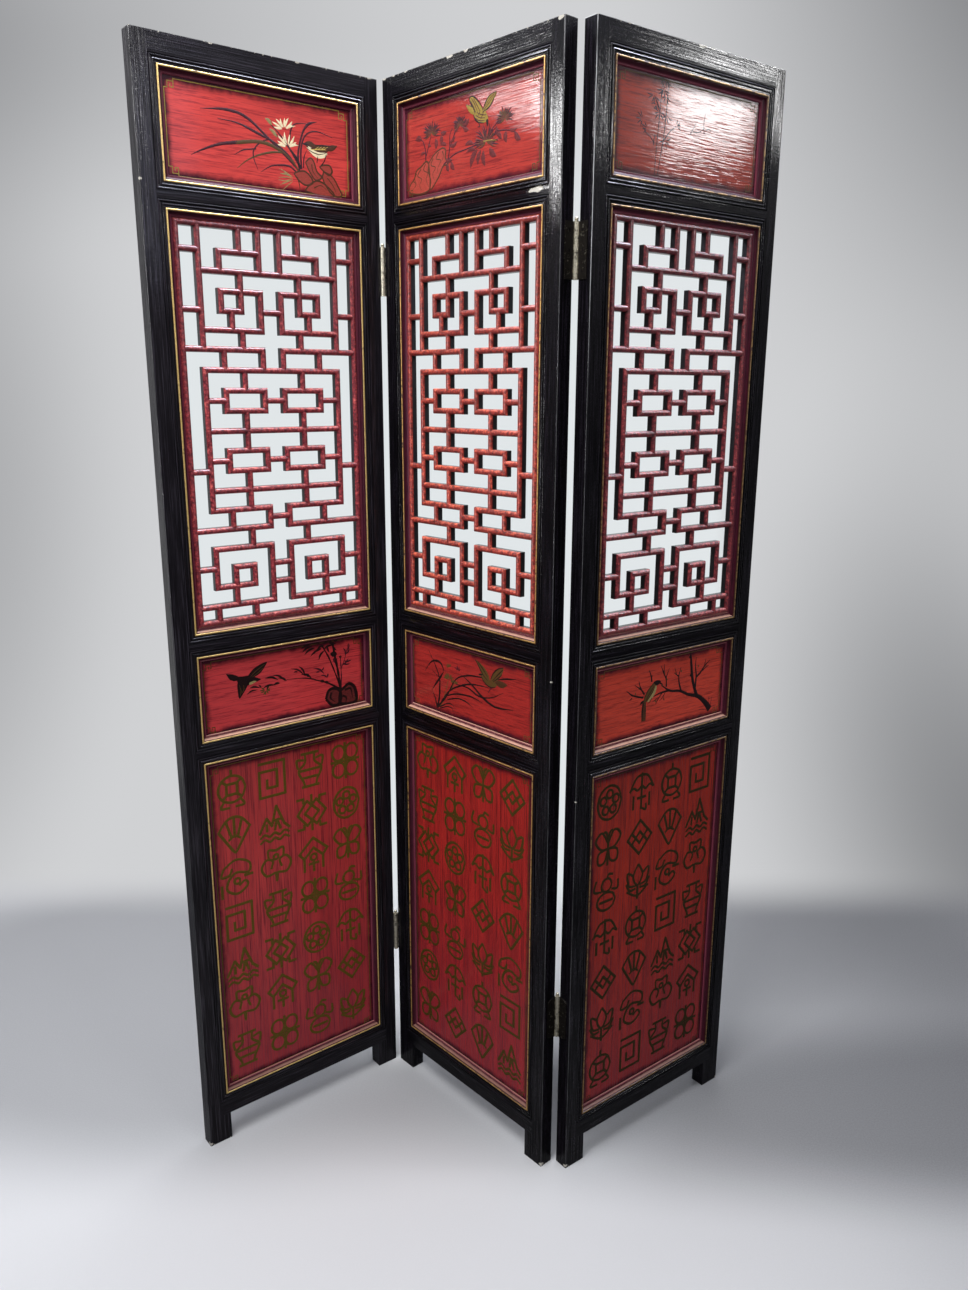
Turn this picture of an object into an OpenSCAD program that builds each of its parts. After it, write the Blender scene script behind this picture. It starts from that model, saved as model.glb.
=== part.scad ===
// Three-panel folding floor screen with fret lattices.
//
// Each panel is a lacquered frame: two stiles and five rails, joined by blind mortise and
// tenon joints with mitred front shoulders. Thin boards float in grooves of the frame, and
// the tall upper opening holds a fret lattice of single sticks. Gilt beads and coved
// mouldings, mitred at the corners, edge every opening. Loose-pin butt hinges join the
// panels: the left fold turns in front of the panels, the right fold behind them.
//
// A panel is drawn in its own axes: x runs along its width, y from the front face to the
// back, z up from the floor. Then it is turned and moved to its place in the zigzag.
// In a section, e is the distance from a gilt line's outer edge into the opening, and
// d is the depth behind the panel's front face.

/* [Panel] */
// Height of a panel
panel_h = 1830; // [1500:10:2100]
// Width of a panel
panel_w = 407; // [340:1:480]
// Thickness of a panel's frame
panel_t = 26; // [24:0.5:34]
// Width of a stile, which is also the width of a foot
stile_w = 42; // [40:0.5:60]
// Width of a rail
rail_w = 46; // [40:0.5:60]
// Gap between the floor and the bottom rail
foot_h = 52.5; // [30:0.5:90]
// Radius of a stile's two outer arrises
stile_round = 1.5; // [0.5:0.25:3]

/* [Openings] */
// Height of the opening of the top board
top_open_h = 144.5; // [100:0.5:200]
// Height of the opening of the lattice
lattice_open_h = 634; // [560:1:700]
// Height of the opening of the waist board
waist_open_h = 138.5; // [100:0.5:200]

/* [Folds] */
// Turn of the left panel from the line of sight's cross direction, degrees
left_yaw = 38.6; // [20:0.1:60]
// Turn of the middle panel
middle_yaw = -47.8; // [-60:0.1:-30]
// Turn of the right panel
right_yaw = 37.4; // [20:0.1:60]

/* [Joinery] */
// Distance from the front face to the boards, which is the depth of the front shoulders
board_depth = 10; // [9:0.25:12]
// Thickness of a board, of the lattice's tongue and of a tenon
board_t = 6; // [5:0.25:8]
// How far a board's edge reaches into its groove
tongue = 6; // [4:0.25:7]
// Room left for the wood to swell at the bottom of a groove
swell_gap = 1; // [0.5:0.1:2]
// Length of a tenon from the stile's inner face
tenon_len = 28; // [20:0.5:32]
// Setback of a tenon from each edge of its rail
haunch = 8.5; // [8:0.25:12]
// Clearance between a tenon or tongue and its mortise or groove
joint_fit = 0.1; // [0.05:0.05:0.25]
// Depth of the glue room beyond a tenon's end
glue_room = 1; // [0.5:0.1:2]
// Thickness of the glue line at a mitre or a pointed joint
glue_line = 0.08; // [0.04:0.01:0.15]

/* [Edge mouldings] */
// Width of the frame's edge inside the gilt line
lip = 5.5; // [4.5:0.25:7]
// Depth of the seat of the gilt bead
seat_d = 4; // [3.5:0.1:5]
// Width of the gilt bead
gilt_w = 3.5; // [2.5:0.1:4]
// How far the gilt bead's crown lies behind the front face
gilt_drop = 0.25; // [0:0.05:0.6]
// Width of the beaded zone outside the gilt line
bead_zone = 12; // [11:0.25:14]
// Depth of the beaded zone's quirks
quirk_d = 1.8; // [1:0.1:2]
// Radius of each of its two beads
bead_r = 1.9; // [1.5:0.05:2]
// Gap between the gilt line and the inner bead
quirk_w = 2.3; // [1.5:0.1:3]
// Gap between the two beads
bead_gap = 1.2; // [0.6:0.1:2]
// Radius of the moulding's cove
cove_r = 5; // [4:0.1:5.2]
// Width of the moulding's flat lip beside the gilt bead
cove_lip = 0.7; // [0.4:0.1:1.2]
// Depth of the moulding's lip behind the front face
cove_drop = 2.6; // [2:0.1:2.8]
// Radius of the small bead at the foot of the cove
foot_bead_r = 0.8; // [0.5:0.05:1]

/* [Lattice] */
// Width of a lattice stick, whose front is half round
stick_w = 9.5; // [8:0.25:11]
// Depth of a stick's flat sides
stick_side = 8.5; // [6.5:0.25:11]
// Half the width of wood left in a stick between two facing notches
notch_web = 1.5; // [1:0.1:2]
// Centre line of the panel to the first upright sticks
fret_mid = 18; // [14:0.5:24]
// Border to the first row of sticks
fret_top = 37; // [30:0.5:44]
// Pitch of the upper rows
upper_pitch = 28.9; // [26:0.1:32]
// Last row of sticks to the border
fret_bottom = 25.7; // [20:0.1:32]

/* [Hinges] */
// Height of a hinge
hinge_h = 78; // [64:1:100]
// Distance of the middle of the upper hinges from the panels' top
upper_hinge_drop = 295; // [260:1:480]
// Height of the middle of the lower hinges
lower_hinge_z = 294; // [200:1:400]
// Width of a leaf on the stile's edge
leaf_w = 18; // [16:0.5:22]
// Thickness of a leaf
leaf_t = 1.6; // [1.2:0.1:1.8]
// Gap between two panels opened flat
fold_gap = 4; // [3.8:0.1:5]
// Distance of the pin's axis from the panel's face
axis_proud = 4; // [3.8:0.1:6]
// Radius of a knuckle
knuckle_r = 4; // [3.5:0.1:4.1]
// Radius of the pin
pin_r = 2; // [1.5:0.1:2.4]
// Radial clearance of the pin in its knuckles
pin_fit = 0.05; // [0.02:0.01:0.1]
// Clearance between neighbouring knuckles
knuckle_gap = 0.4; // [0.2:0.1:0.8]
// Radius of the pin's collar
collar_r = 3.4; // [2.8:0.1:4]
// Thickness of the pin's collar
collar_t = 1.2; // [0.8:0.1:2]
// Radius of the pin's ball finial
ball_r = 2.9; // [2:0.1:3.4]
// How far the ball sinks into the collar
ball_sink = 0.3; // [0.1:0.1:0.6]
// Width of the lower hinges' clipped corners
clip_w = 11; // [6:0.5:13]
// Height of the lower hinges' clipped corners
clip_h = 5; // [3:0.5:7]
// Number of screws in a leaf
screw_n = 3; // [2:1:4]
// Distance of the end screws from a leaf's ends
screw_end = 12; // [10:0.5:16]
// Length of a screw
screw_len = 16; // [12:1:20]
// Radius of a screw's shank
screw_r = 1.5; // [1.2:0.1:1.8]
// Clearance round a screw
screw_fit = 0.05; // [0.02:0.01:0.1]
// Width of a screw's slot
slot_w = 0.7; // [0.5:0.1:1]

/* [Hidden] */
$fn = 64;
eps = 0.01;
// how far a cutter runs past the wood or metal that it cuts
spare = 1;
KNUCKLES = 4;
LAST_ROW = 18;
UPPER_ROWS = 5;
COLUMNS = 5;

// colours, as the photograph shows them
lacquer = "#17161A";
board_red = "#B23438";
board_crimson = "#7A1C2C";
fret_red = "#9C3034";
gold = "#C8A040";
maroon = "#4A1424";
old_brass = "#4C4438";
screw_brass = "#6A5F4C";

// a panel's openings and rails, upwards from the floor
bottom_open_h = panel_h - foot_h - 5 * rail_w - top_open_h - lattice_open_h - waist_open_h;
OPEN_H = [bottom_open_h, waist_open_h, lattice_open_h, top_open_h];
RAIL_NAMES = ["bottom", "lower", "waist", "upper", "top"];
BOARD_NAMES = ["bottom", "waist", "lattice", "top"];
LATTICE = search(["lattice"], BOARD_NAMES)[0];
TOP = len(RAIL_NAMES) - 1;
open_w = panel_w - 2 * stile_w;

function sum(v) = len(v) == 0 ? 0 : v * [for (q = v) 1];

// lower edge of rail i and of opening i
function rail_z(i) = foot_h + i * rail_w + sum([for (k = [0:1:i - 1]) OPEN_H[k]]);
function open_z(i) = rail_z(i) + rail_w;

// joinery
groove_d = tongue + swell_gap;
shoulder = lip + bead_zone;
tenon_h = rail_w - 2 * haunch;

// the moulding's reach from the gilt line, and the lattice border's
cove_e = gilt_w + cove_lip + cove_r;
moulding_e = cove_e + 2 * foot_bead_r;
border_mid_e = moulding_e + stick_w / 2;
border_e = moulding_e + stick_w;

// hinges
knuckle_h = hinge_h / KNUCKLES;
bore_r = pin_r + pin_fit;
upper_hinge_z = panel_h - upper_hinge_drop;
sweep_r = knuckle_r + knuckle_gap;
head_r = screw_r + leaf_t;
slot_d = leaf_t / 2;
UPPER = 0;
LOWER = 1;

// panels: 0 left, 1 middle, 2 right
PANELS = ["left", "middle", "right"];
YAW = [left_yaw, middle_yaw, right_yaw];

// a point of a panel turned by the angle a
function turned(a, p) = [p[0] * cos(a) - p[1] * sin(a), p[0] * sin(a) + p[1] * cos(a)];

// the pin axes in a panel's own axes
front_right = [panel_w + fold_gap / 2, -axis_proud];
front_left = [-fold_gap / 2, -axis_proud];
back_right = [panel_w + fold_gap / 2, panel_t + axis_proud];
back_left = [-fold_gap / 2, panel_t + axis_proud];

// the panels' origins, measured from the middle panel's
RAW = [
    turned(middle_yaw, front_left) - turned(left_yaw, front_right),
    [0, 0],
    turned(middle_yaw, back_right) - turned(right_yaw, back_left)
];

// centres of the rounded arrises, whose outermost reach is the object's outline
ARRIS = [
    for (p = [0:2])
        for (x = [stile_round, panel_w - stile_round])
            for (y = [stile_round, panel_t - stile_round])
                RAW[p] + turned(YAW[p], [x, y])
];
function centre(axis) = (max([for (c = ARRIS) c[axis]]) + min([for (c = ARRIS) c[axis]])) / 2;
function origin(p) = RAW[p] - [centre(0), centre(1)];

// Helpers

// puts a panel's own axes in their place in the zigzag
module place(p) {
    translate([origin(p)[0], origin(p)[1], 0])
        rotate([0, 0, YAW[p]])
            children();
}

// runs a section, drawn as (across, depth), along x with its across direction up
module along_x(len) {
    rotate([90, 0, 90])
        linear_extrude(len)
            mirror([1, -1, 0])
                children();
}

// cuts a plan, drawn as (x, z), through the depths d0 to d1
module through_plan(d0, d1) {
    translate([0, d1, 0])
        rotate([90, 0, 0])
            linear_extrude(d1 - d0)
                children();
}

// Edge sections

// what a frame member loses along an opening, at the right of x = 0, the gilt line
module edge_cut_section() {
    translate([0, -spare])
        square([lip + spare, seat_d + spare]);
    translate([gilt_w, -spare])
        square([lip - gilt_w + spare, board_depth + spare]);
    difference() {
        translate([-bead_zone, -spare])
            square([bead_zone, quirk_d + spare]);
        translate([-quirk_w - bead_r, bead_r])
            circle(bead_r);
        translate([-quirk_w - 3 * bead_r - bead_gap, bead_r])
            circle(bead_r);
    }
}

// the groove behind that edge
module groove_section() {
    translate([lip - groove_d, board_depth])
        square([groove_d + spare, board_t + 2 * joint_fit]);
}

module gilt_section() {
    crown_y = gilt_drop + gilt_w / 2;
    translate([gilt_w / 2, crown_y])
        circle(gilt_w / 2);
    translate([0, crown_y])
        square([gilt_w, seat_d - crown_y]);
}

// the coved moulding: a lip beside the gilt bead, a cove, and a small bead on the board
module moulding_section() {
    bead_e = cove_e + foot_bead_r;
    difference() {
        translate([gilt_w, cove_drop])
            square([cove_e - gilt_w, board_depth - cove_drop]);
        translate([cove_e, cove_drop])
            circle(cove_r);
    }
    translate([bead_e, cove_drop + cove_r + foot_bead_r])
        circle(foot_bead_r);
    translate([cove_e - foot_bead_r, cove_drop + cove_r + foot_bead_r])
        square([3 * foot_bead_r, board_depth - cove_drop - cove_r - foot_bead_r]);
}

// a lattice stick, centred on x = 0: half round in front, flat at the sides and back
module stick_section() {
    translate([0, board_depth])
        circle(stick_w / 2);
    translate([-stick_w / 2, board_depth])
        square([stick_w, stick_side]);
}

// the lattice's border bar: a stick with a ledge under the moulding and a tongue in the groove
module border_section() {
    translate([border_mid_e, 0])
        stick_section();
    translate([lip, board_depth])
        square([border_mid_e - lip, stick_side]);
    translate([lip - tongue, board_depth])
        square([tongue + joint_fit, board_t]);
}

// Mitred rings round an opening

// points of a bar's edge at across = b with notches for the sticks that meet it at the
// places c; s is the side of the bar's centre line on which the edge lies
function notch_points(places, mid, s) = [
    for (c = places)
        for (q = [[-stick_w / 2, stick_w / 2], [-notch_web, notch_web],
                  [notch_web, notch_web], [stick_w / 2, stick_w / 2]])
            [c + q[0], mid + s * q[1]]
];

// one strip of a ring: it runs along x from 0 to len, and e grows upwards from the gilt line
module mitred_strip(len, e0, e1, notches = []) {
    g = glue_line / 2;
    intersection() {
        translate([e0, 0, 0])
            along_x(len - 2 * e0)
                children();
        through_plan(-spare, panel_t + spare)
            polygon(concat(
                [[len - e0 - g, e0], [e0 + g, e0], [e1 + g, e1]],
                notch_points(notches, border_mid_e, 1),
                [[len - e1 - g, e1]]
            ));
    }
}

// the four strips of opening i; stems holds the notches of each side
module ring(i, e0, e1, stems = [[], [], [], []]) {
    w = open_w + 2 * lip;
    h = OPEN_H[i] + 2 * lip;
    x0 = stile_w - lip;
    z0 = open_z(i) - lip;
    starts = [[x0, z0], [x0 + w, z0], [x0 + w, z0 + h], [x0, z0 + h]];
    for (k = [0:3])
        translate([starts[k][0], 0, starts[k][1]])
            rotate([0, -90 * k, 0])
                mitred_strip(k % 2 == 0 ? w : h, e0, e1, stems[k])
                    children();
}

// The frame

// outline of rail i's front shoulder at the left stile, from the rail's lower edge to its
// upper: mitred beside an opening, square at the foot, and past the stile's top by `over`
function shoulder_plan(i, over = 0) =
    let (z0 = rail_z(i), z1 = rail_z(i) + rail_w, x1 = stile_w, x0 = stile_w - shoulder)
    [
        [x1, z0],
        [x0, i == 0 ? z0 : z0 + shoulder],
        [x0, i == TOP ? z1 + over : z1 - shoulder],
        [x1, i == TOP ? z1 + over : z1]
    ];

// a stile with its opening edge at x = stile_w
module stile_blank() {
    r = stile_round;
    difference() {
        linear_extrude(panel_h) {
            translate([r, 0])
                square([stile_w - r, panel_t]);
            translate([0, r])
                square([r, panel_t - 2 * r]);
            for (y = [r, panel_t - r])
                translate([r, y])
                    circle(r);
        }
        for (i = [0:3]) {
            translate([stile_w - lip, 0, open_z(i) - shoulder])
                linear_extrude(OPEN_H[i] + 2 * shoulder)
                    edge_cut_section();
            translate([stile_w - lip, 0, open_z(i) - groove_d])
                linear_extrude(OPEN_H[i] + 2 * groove_d)
                    groove_section();
        }
        for (i = [0:TOP]) {
            through_plan(-spare, board_depth)
                polygon(concat(
                    shoulder_plan(i, spare),
                    [for (k = [3, 0]) shoulder_plan(i, spare)[k] + [spare, 0]]
                ));
            translate([stile_w - tenon_len - glue_room, board_depth - eps,
                       rail_z(i) + haunch - joint_fit])
                cube([tenon_len + glue_room + spare, board_t + joint_fit + eps,
                      tenon_h + 2 * joint_fit]);
        }
    }
}

// only the two outermost stiles carry no hinge
function hinged(p, side) = p == 1 || side == (p == 0 ? 1 : 0);

// side 0 is the stile at the panel's left, side 1 at its right
module stile(p, side) {
    color(lacquer)
        difference() {
            if (side == 0)
                stile_blank();
            else
                translate([panel_w, 0, 0])
                    mirror([1, 0, 0])
                        stile_blank();
            if (hinged(p, side))
                for (h = [UPPER, LOWER])
                    on_edge(p, side)
                        at_hinge(h)
                            screw_sites()
                                pilot_hole();
        }
}

// rail i, with its edges beaded and grooved where it meets an opening
module rail(i) {
    z0 = rail_z(i);
    x0 = stile_w - shoulder;
    color(lacquer)
        difference() {
            union() {
                through_plan(0, board_depth)
                    polygon(concat(
                        shoulder_plan(i),
                        [for (q = reversed(shoulder_plan(i))) [panel_w - q[0], q[1]]]
                    ));
                translate([stile_w, board_depth, z0])
                    cube([open_w, panel_t - board_depth, rail_w]);
                translate([stile_w - tenon_len, board_depth, z0 + haunch])
                    cube([open_w + 2 * tenon_len, board_t, tenon_h]);
            }
            if (i < TOP)
                translate([x0 - spare, 0, z0 + rail_w - lip])
                    along_x(panel_w - 2 * (x0 - spare)) {
                        edge_cut_section();
                        groove_section();
                    }
            if (i > 0)
                translate([x0 - spare, 0, z0 + lip])
                    along_x(panel_w - 2 * (x0 - spare))
                        mirror([1, 0, 0]) {
                            edge_cut_section();
                            groove_section();
                        }
        }
}

// a board that floats in the grooves of opening i
module board(i, tone) {
    color(tone)
        translate([stile_w - tongue, board_depth, open_z(i) - tongue])
            cube([open_w + 2 * tongue, board_t, OPEN_H[i] + 2 * tongue]);
}

module gilt_beads() {
    color(gold)
        for (i = [0:3])
            ring(i, 0, gilt_w)
                gilt_section();
}

module mouldings() {
    color(maroon)
        for (i = [0:3])
            ring(i, gilt_w, moulding_e)
                moulding_section();
}

// The fret lattice

// half the border's width and its two heights, on the sticks' centre lines
fret_half = open_w / 2 + lip - border_mid_e;
fret_z0 = open_z(LATTICE) - lip + border_mid_e;
fret_z1 = open_z(LATTICE) + OPEN_H[LATTICE] + lip - border_mid_e;
lower_pitch = (fret_z1 - fret_z0 - fret_top - UPPER_ROWS * upper_pitch - fret_bottom)
    / (LAST_ROW - UPPER_ROWS);

// place of column k: 1 is next to the centre line, COLUMNS is the border, and a negative
// column lies at the left
function column(k) =
    panel_w / 2 + sign(k) * (fret_mid + (abs(k) - 1) * (fret_half - fret_mid) / (COLUMNS - 1));

// height of row i: rows count down from 0, -1 is the top border and LAST_ROW + 1 the bottom
function row(i) =
    i < 0 ? fret_z1
    : i > LAST_ROW ? fret_z0
    : fret_z1 - fret_top - upper_pitch * min(i, UPPER_ROWS)
        - lower_pitch * max(i - UPPER_ROWS, 0);

// level sticks of the right half: first column, last column, row
LEVEL = [
    [4, 5, 0], [1, 3, 0], [1, 2, 2], [2, 3, 2], [4, 5, 3], [2, 3, 3], [1, 4, 4], [1, 5, 5],
    [1, 3, 7], [3, 4, 7.5], [1, 3, 8], [1, 3, 10], [3, 4, 10.5], [1, 3, 11], [4, 5, 11],
    [1, 4, 13], [1, 5, 14], [1, 4, 15], [4, 5, 16], [2, 3, 16], [2, 4, 17], [1, 5, 18]
];
// upright sticks of the right half: column, upper row, lower row
UPRIGHT = [
    [4, -1, 5], [2, -1, 0], [1, -1, 1], [3, 0, 1], [2, 1, 3], [3, 2, 3], [1, 2, 4],
    [2.5, 3, 4], [2, 4, 5], [3, 5, 6], [1, 5, 6], [4, 6, 13], [2, 6, 7], [3, 7, 8],
    [1, 7, 8], [2, 8, 9], [2, 9, 10], [3, 10, 11], [1, 10, 11], [2, 11, 12], [2, 12, 13],
    [3, 13, 14], [1, 13, 14], [2, 14, 15], [4, 15, 17], [1, 15, 18], [3, 16, 17],
    [3, 17, 18], [2, 16, 17], [4, 18, 19], [2, 18, 19]
];
// level sticks that cross the centre line: column reached on each side, row
ACROSS = [
    [4, 1], [1, 3], [4, 6], [1, 7.5], [4, 9], [1, 10.5], [4, 12], [1, 13.5], [1, 16], [1, 17]
];

// every stick as [x0, z0, x1, z1] with x0 <= x1 and z0 <= z1
STICKS = concat(
    [for (s = LEVEL) [column(s[0]), row(s[2]), column(s[1]), row(s[2])]],
    [for (s = LEVEL) [column(-s[1]), row(s[2]), column(-s[0]), row(s[2])]],
    [for (s = UPRIGHT) for (m = [1, -1])
        [column(m * s[0]), row(s[2]), column(m * s[0]), row(s[1])]],
    [for (s = ACROSS) [column(-s[0]), row(s[1]), column(s[0]), row(s[1])]]
);

// 0 for a level stick and 1 for an upright one: the index of the axis it runs along
function run(s) = abs(s[0] - s[2]) < eps ? 1 : 0;
function low(s, axis) = s[axis];
function high(s, axis) = s[axis + 2];
function near(a, b) = abs(a - b) < eps;

// the way the stick that shares the corner at a leaves it across s: +1, -1, or 0 for none
function corner_side(s, a) =
    let (r = run(s), b = s[1 - r])
    let (ways = [for (t = STICKS)
        if (run(t) != r && near(t[r], a))
            if (near(low(t, 1 - r), b)) 1
            else if (near(high(t, 1 - r), b)) -1])
    len(ways) > 0 ? ways[0] : 0;

// where other sticks butt against the side of s: +1 for its upper or right side
function butts(s, side) =
    let (r = run(s), b = s[1 - r])
    [for (t = STICKS)
        let (c = t[r], end = side > 0 ? low(t, 1 - r) : high(t, 1 - r))
            if (run(t) != r && near(end, b) && c > low(s, r) + eps && c < high(s, r) - eps) c];

function sorted(v) =
    len(v) < 2 ? v
    : let (a = v[0])
        concat(sorted([for (q = v) if (q < a) q]), [a], sorted([for (q = v) if (q > a) q]));
function reversed(v) = [for (k = [len(v) - 1:-1:0]) v[k]];

// points of a stick's end at place a as [along, across], from its lower side to its upper:
// a mitre where it turns a corner, else a point that enters the notch of another stick
function end_points(s, a, way) =
    let (side = corner_side(s, a), h = stick_w / 2, w = notch_web)
    let (g = a + way * glue_line * (side != 0 ? 0.5 : 1))
    side != 0 ? [[g - way * side * h, -h], [g + way * side * h, h]]
    : [[g + way * h, -h], [g + way * w, -w], [g + way * w, w], [g + way * h, h]];

// the plan of a stick as [along, across] from its centre line
function stick_plan(s) =
    let (r = run(s))
    concat(
        end_points(s, low(s, r), 1),
        notch_points(sorted(butts(s, 1)), 0, 1),
        reversed(end_points(s, high(s, r), -1)),
        reversed(notch_points(sorted(butts(s, -1)), 0, -1))
    );

module stick(s) {
    r = run(s);
    plan = [for (q = stick_plan(s)) r == 0 ? [q[0], q[1] + s[1]] : [q[1] + s[0], q[0]]];
    intersection() {
        if (r == 0)
            translate([s[0] - stick_w, 0, s[1]])
                along_x(s[2] - s[0] + 2 * stick_w)
                    stick_section();
        else
            translate([s[0], 0, s[1] - stick_w])
                linear_extrude(s[3] - s[1] + 2 * stick_w)
                    stick_section();
        through_plan(0, panel_t)
            polygon(plan);
    }
}

module lattice() {
    x0 = stile_w - lip;
    x1 = panel_w - x0;
    z0 = open_z(LATTICE) - lip;
    z1 = z0 + OPEN_H[LATTICE] + 2 * lip;
    stems = [
        [for (s = STICKS) if (run(s) == 1 && near(s[1], fret_z0)) s[0] - x0],
        [for (s = STICKS) if (run(s) == 0 && near(s[2], column(COLUMNS))) s[1] - z0],
        [for (s = STICKS) if (run(s) == 1 && near(s[3], fret_z1)) x1 - s[0]],
        [for (s = STICKS) if (run(s) == 0 && near(s[0], column(-COLUMNS))) z1 - s[1]]
    ];
    color(fret_red) {
        ring(LATTICE, lip - tongue, border_e, [for (v = stems) sorted(v)])
            border_section();
        for (s = STICKS)
            stick(s);
    }
}

// Hinges, drawn from the foot of the pin's axis with the stile towards +x

// brings the hinge axes to a panel's edge: the left fold's are in front, the right fold's
// behind, and side 0 is the panel's left edge
module on_edge(p, side) {
    front = p == 0 || (p == 1 && side == 0);
    spot = side == 1 ? (front ? front_right : back_right) : (front ? front_left : back_left);
    translate([spot[0], spot[1], 0])
        mirror([side, 0, 0])
            mirror([0, front ? 0 : 1, 0])
                children();
}

module at_hinge(h) {
    translate([0, 0, (h == UPPER ? upper_hinge_z : lower_hinge_z) - hinge_h / 2])
        children();
}

// the places of a leaf's screws, with the screw's axis along +x from the leaf's face
module screw_sites() {
    for (k = [0:screw_n - 1])
        translate([fold_gap / 2 - leaf_t, axis_proud + leaf_w / 2,
                   screw_end + k * (hinge_h - 2 * screw_end) / (screw_n - 1)])
            rotate([0, 90, 0])
                children();
}

module pilot_hole() {
    cylinder(h = screw_len + glue_room, r = screw_r + screw_fit);
}

module screw() {
    tip = 2 * screw_r;
    difference() {
        union() {
            cylinder(h = leaf_t, r1 = head_r, r2 = screw_r);
            translate([0, 0, leaf_t - eps])
                cylinder(h = screw_len - leaf_t - tip + eps, r = screw_r);
            translate([0, 0, screw_len - tip])
                cylinder(h = tip, r1 = screw_r, r2 = screw_r / 4);
        }
        translate([-head_r - spare, -slot_w / 2, -spare])
            cube([2 * (head_r + spare), slot_w, slot_d + spare]);
    }
}

module countersink() {
    translate([0, 0, -eps])
        cylinder(h = leaf_t + 2 * eps, r1 = head_r + screw_fit + eps,
                 r2 = screw_r + screw_fit - eps);
}

// lower and upper end of knuckle k: the end knuckles are flush with the leaf
function knuckle_z0(k) = k * knuckle_h + (k == 0 ? 0 : knuckle_gap / 2);
function knuckle_z1(k) = (k + 1) * knuckle_h - (k == KNUCKLES - 1 ? 0 : knuckle_gap / 2);

// a leaf whose first knuckle is number `first`, 0 at the bottom, and then every second one
module leaf(first, clipped) {
    color(old_brass)
        difference() {
            union() {
                difference() {
                    translate([fold_gap / 2 - leaf_t, 0, 0])
                        cube([leaf_t, axis_proud + leaf_w, hinge_h]);
                    for (k = [1 - first:2:KNUCKLES - 1])
                        translate([0, 0, k * knuckle_h - knuckle_gap / 2])
                            cylinder(h = knuckle_h + knuckle_gap, r = sweep_r);
                    if (clipped)
                        for (m = [0, 1])
                            translate([0, 0, m * hinge_h])
                                mirror([0, 0, m])
                                    clip_corner();
                }
                for (k = [first:2:KNUCKLES - 1])
                    translate([0, 0, knuckle_z0(k)])
                        cylinder(h = knuckle_z1(k) - knuckle_z0(k), r = knuckle_r);
            }
            translate([0, 0, -spare])
                cylinder(h = hinge_h + 2 * spare, r = bore_r);
            screw_sites()
                countersink();
        }
}

// the prism that clips the outer bottom corner of a leaf
module clip_corner() {
    y1 = axis_proud + leaf_w;
    translate([fold_gap / 2 - leaf_t - spare, 0, 0])
        rotate([90, 0, 90])
            linear_extrude(leaf_t + 2 * spare)
                polygon([[y1 - clip_w, 0], [y1, clip_h], [y1 + spare, clip_h],
                         [y1 + spare, -spare], [y1 - clip_w, -spare]]);
}

// the loose pin: its collar rests on the top knuckle under a ball finial
module pin() {
    color(old_brass) {
        cylinder(h = hinge_h + eps, r = pin_r);
        translate([0, 0, hinge_h])
            cylinder(h = collar_t, r = collar_r);
        translate([0, 0, hinge_h + collar_t + ball_r - ball_sink])
            sphere(ball_r);
    }
}

// the screws of the leaves on a panel's sides
module hinge_screws(p, sides) {
    color(screw_brass)
        for (side = sides)
            for (h = [UPPER, LOWER])
                on_edge(p, side)
                    at_hinge(h)
                        screw_sites()
                            screw();
}

// The parts

for (p = [0:2]) {
    name = str(PANELS[p], "_panel_");
    place(p) stile(p, 0);
    place(p) stile(p, 1);
    for (i = [0:TOP])
        place(p) rail(i);
    for (i = [0, 1, 3])
        place(p) board(i, i == 0 ? board_crimson : board_red);
    place(p) lattice();
    place(p) gilt_beads();
    place(p) mouldings();
    place(p) hinge_screws(p, p == 0 ? [1] : p == 1 ? [0, 1] : [0]);
}

for (h = [UPPER, LOWER]) {
    level = h == UPPER ? "upper" : "lower";
    place(0) on_edge(0, 1) at_hinge(h) leaf(0, h == LOWER);
    place(1) on_edge(1, 0) at_hinge(h) leaf(1, h == LOWER);
    place(1) on_edge(1, 0) at_hinge(h) pin();
    place(1) on_edge(1, 1) at_hinge(h) leaf(0, h == LOWER);
    place(2) on_edge(2, 0) at_hinge(h) leaf(1, h == LOWER);
    place(1) on_edge(1, 1) at_hinge(h) pin();
}
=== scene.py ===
# %% [markdown]
# # A lacquered folding screen
# The wood is already made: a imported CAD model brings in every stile, rail, board, lattice
# stick, bead and hinge, each as its own object. This lesson gives them their finishes, paints
# the pictures on the boards, and lights them as in a plain photo studio. Everything is in
# metres, and the measures that come from the drawing are written in millimetres.

# %% Load the frame
import math

import bpy
import numpy as np
from mathutils import Matrix, Vector


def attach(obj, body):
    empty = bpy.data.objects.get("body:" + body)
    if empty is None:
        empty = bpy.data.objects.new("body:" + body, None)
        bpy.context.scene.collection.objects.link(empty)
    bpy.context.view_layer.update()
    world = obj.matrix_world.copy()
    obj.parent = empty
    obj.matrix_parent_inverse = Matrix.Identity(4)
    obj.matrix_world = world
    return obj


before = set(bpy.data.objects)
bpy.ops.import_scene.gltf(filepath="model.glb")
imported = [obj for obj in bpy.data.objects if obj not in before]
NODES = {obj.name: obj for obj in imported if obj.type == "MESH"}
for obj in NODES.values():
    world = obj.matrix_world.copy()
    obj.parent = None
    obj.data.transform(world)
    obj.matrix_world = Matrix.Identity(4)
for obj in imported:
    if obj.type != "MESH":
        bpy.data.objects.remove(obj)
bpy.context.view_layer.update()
MM = 0.001

# %% [markdown]
# ## One panel's own axes
# All three panels are alike, so it is easier to paint them in their own axes: x runs along
# the width, z up, and the depth counts backwards from the front face. The drawing gives each
# panel's turn and the place of its front left corner on the floor.

# %% Panel axes
PANEL_W, PANEL_T, PANEL_H = 407, 26, 1830
PLACES = {
    "left": (38.6, -475.162, -111.012),
    "middle": (-47.8, -148.718, 142.234),
    "right": (37.4, 168.050, -163.221),
}
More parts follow.
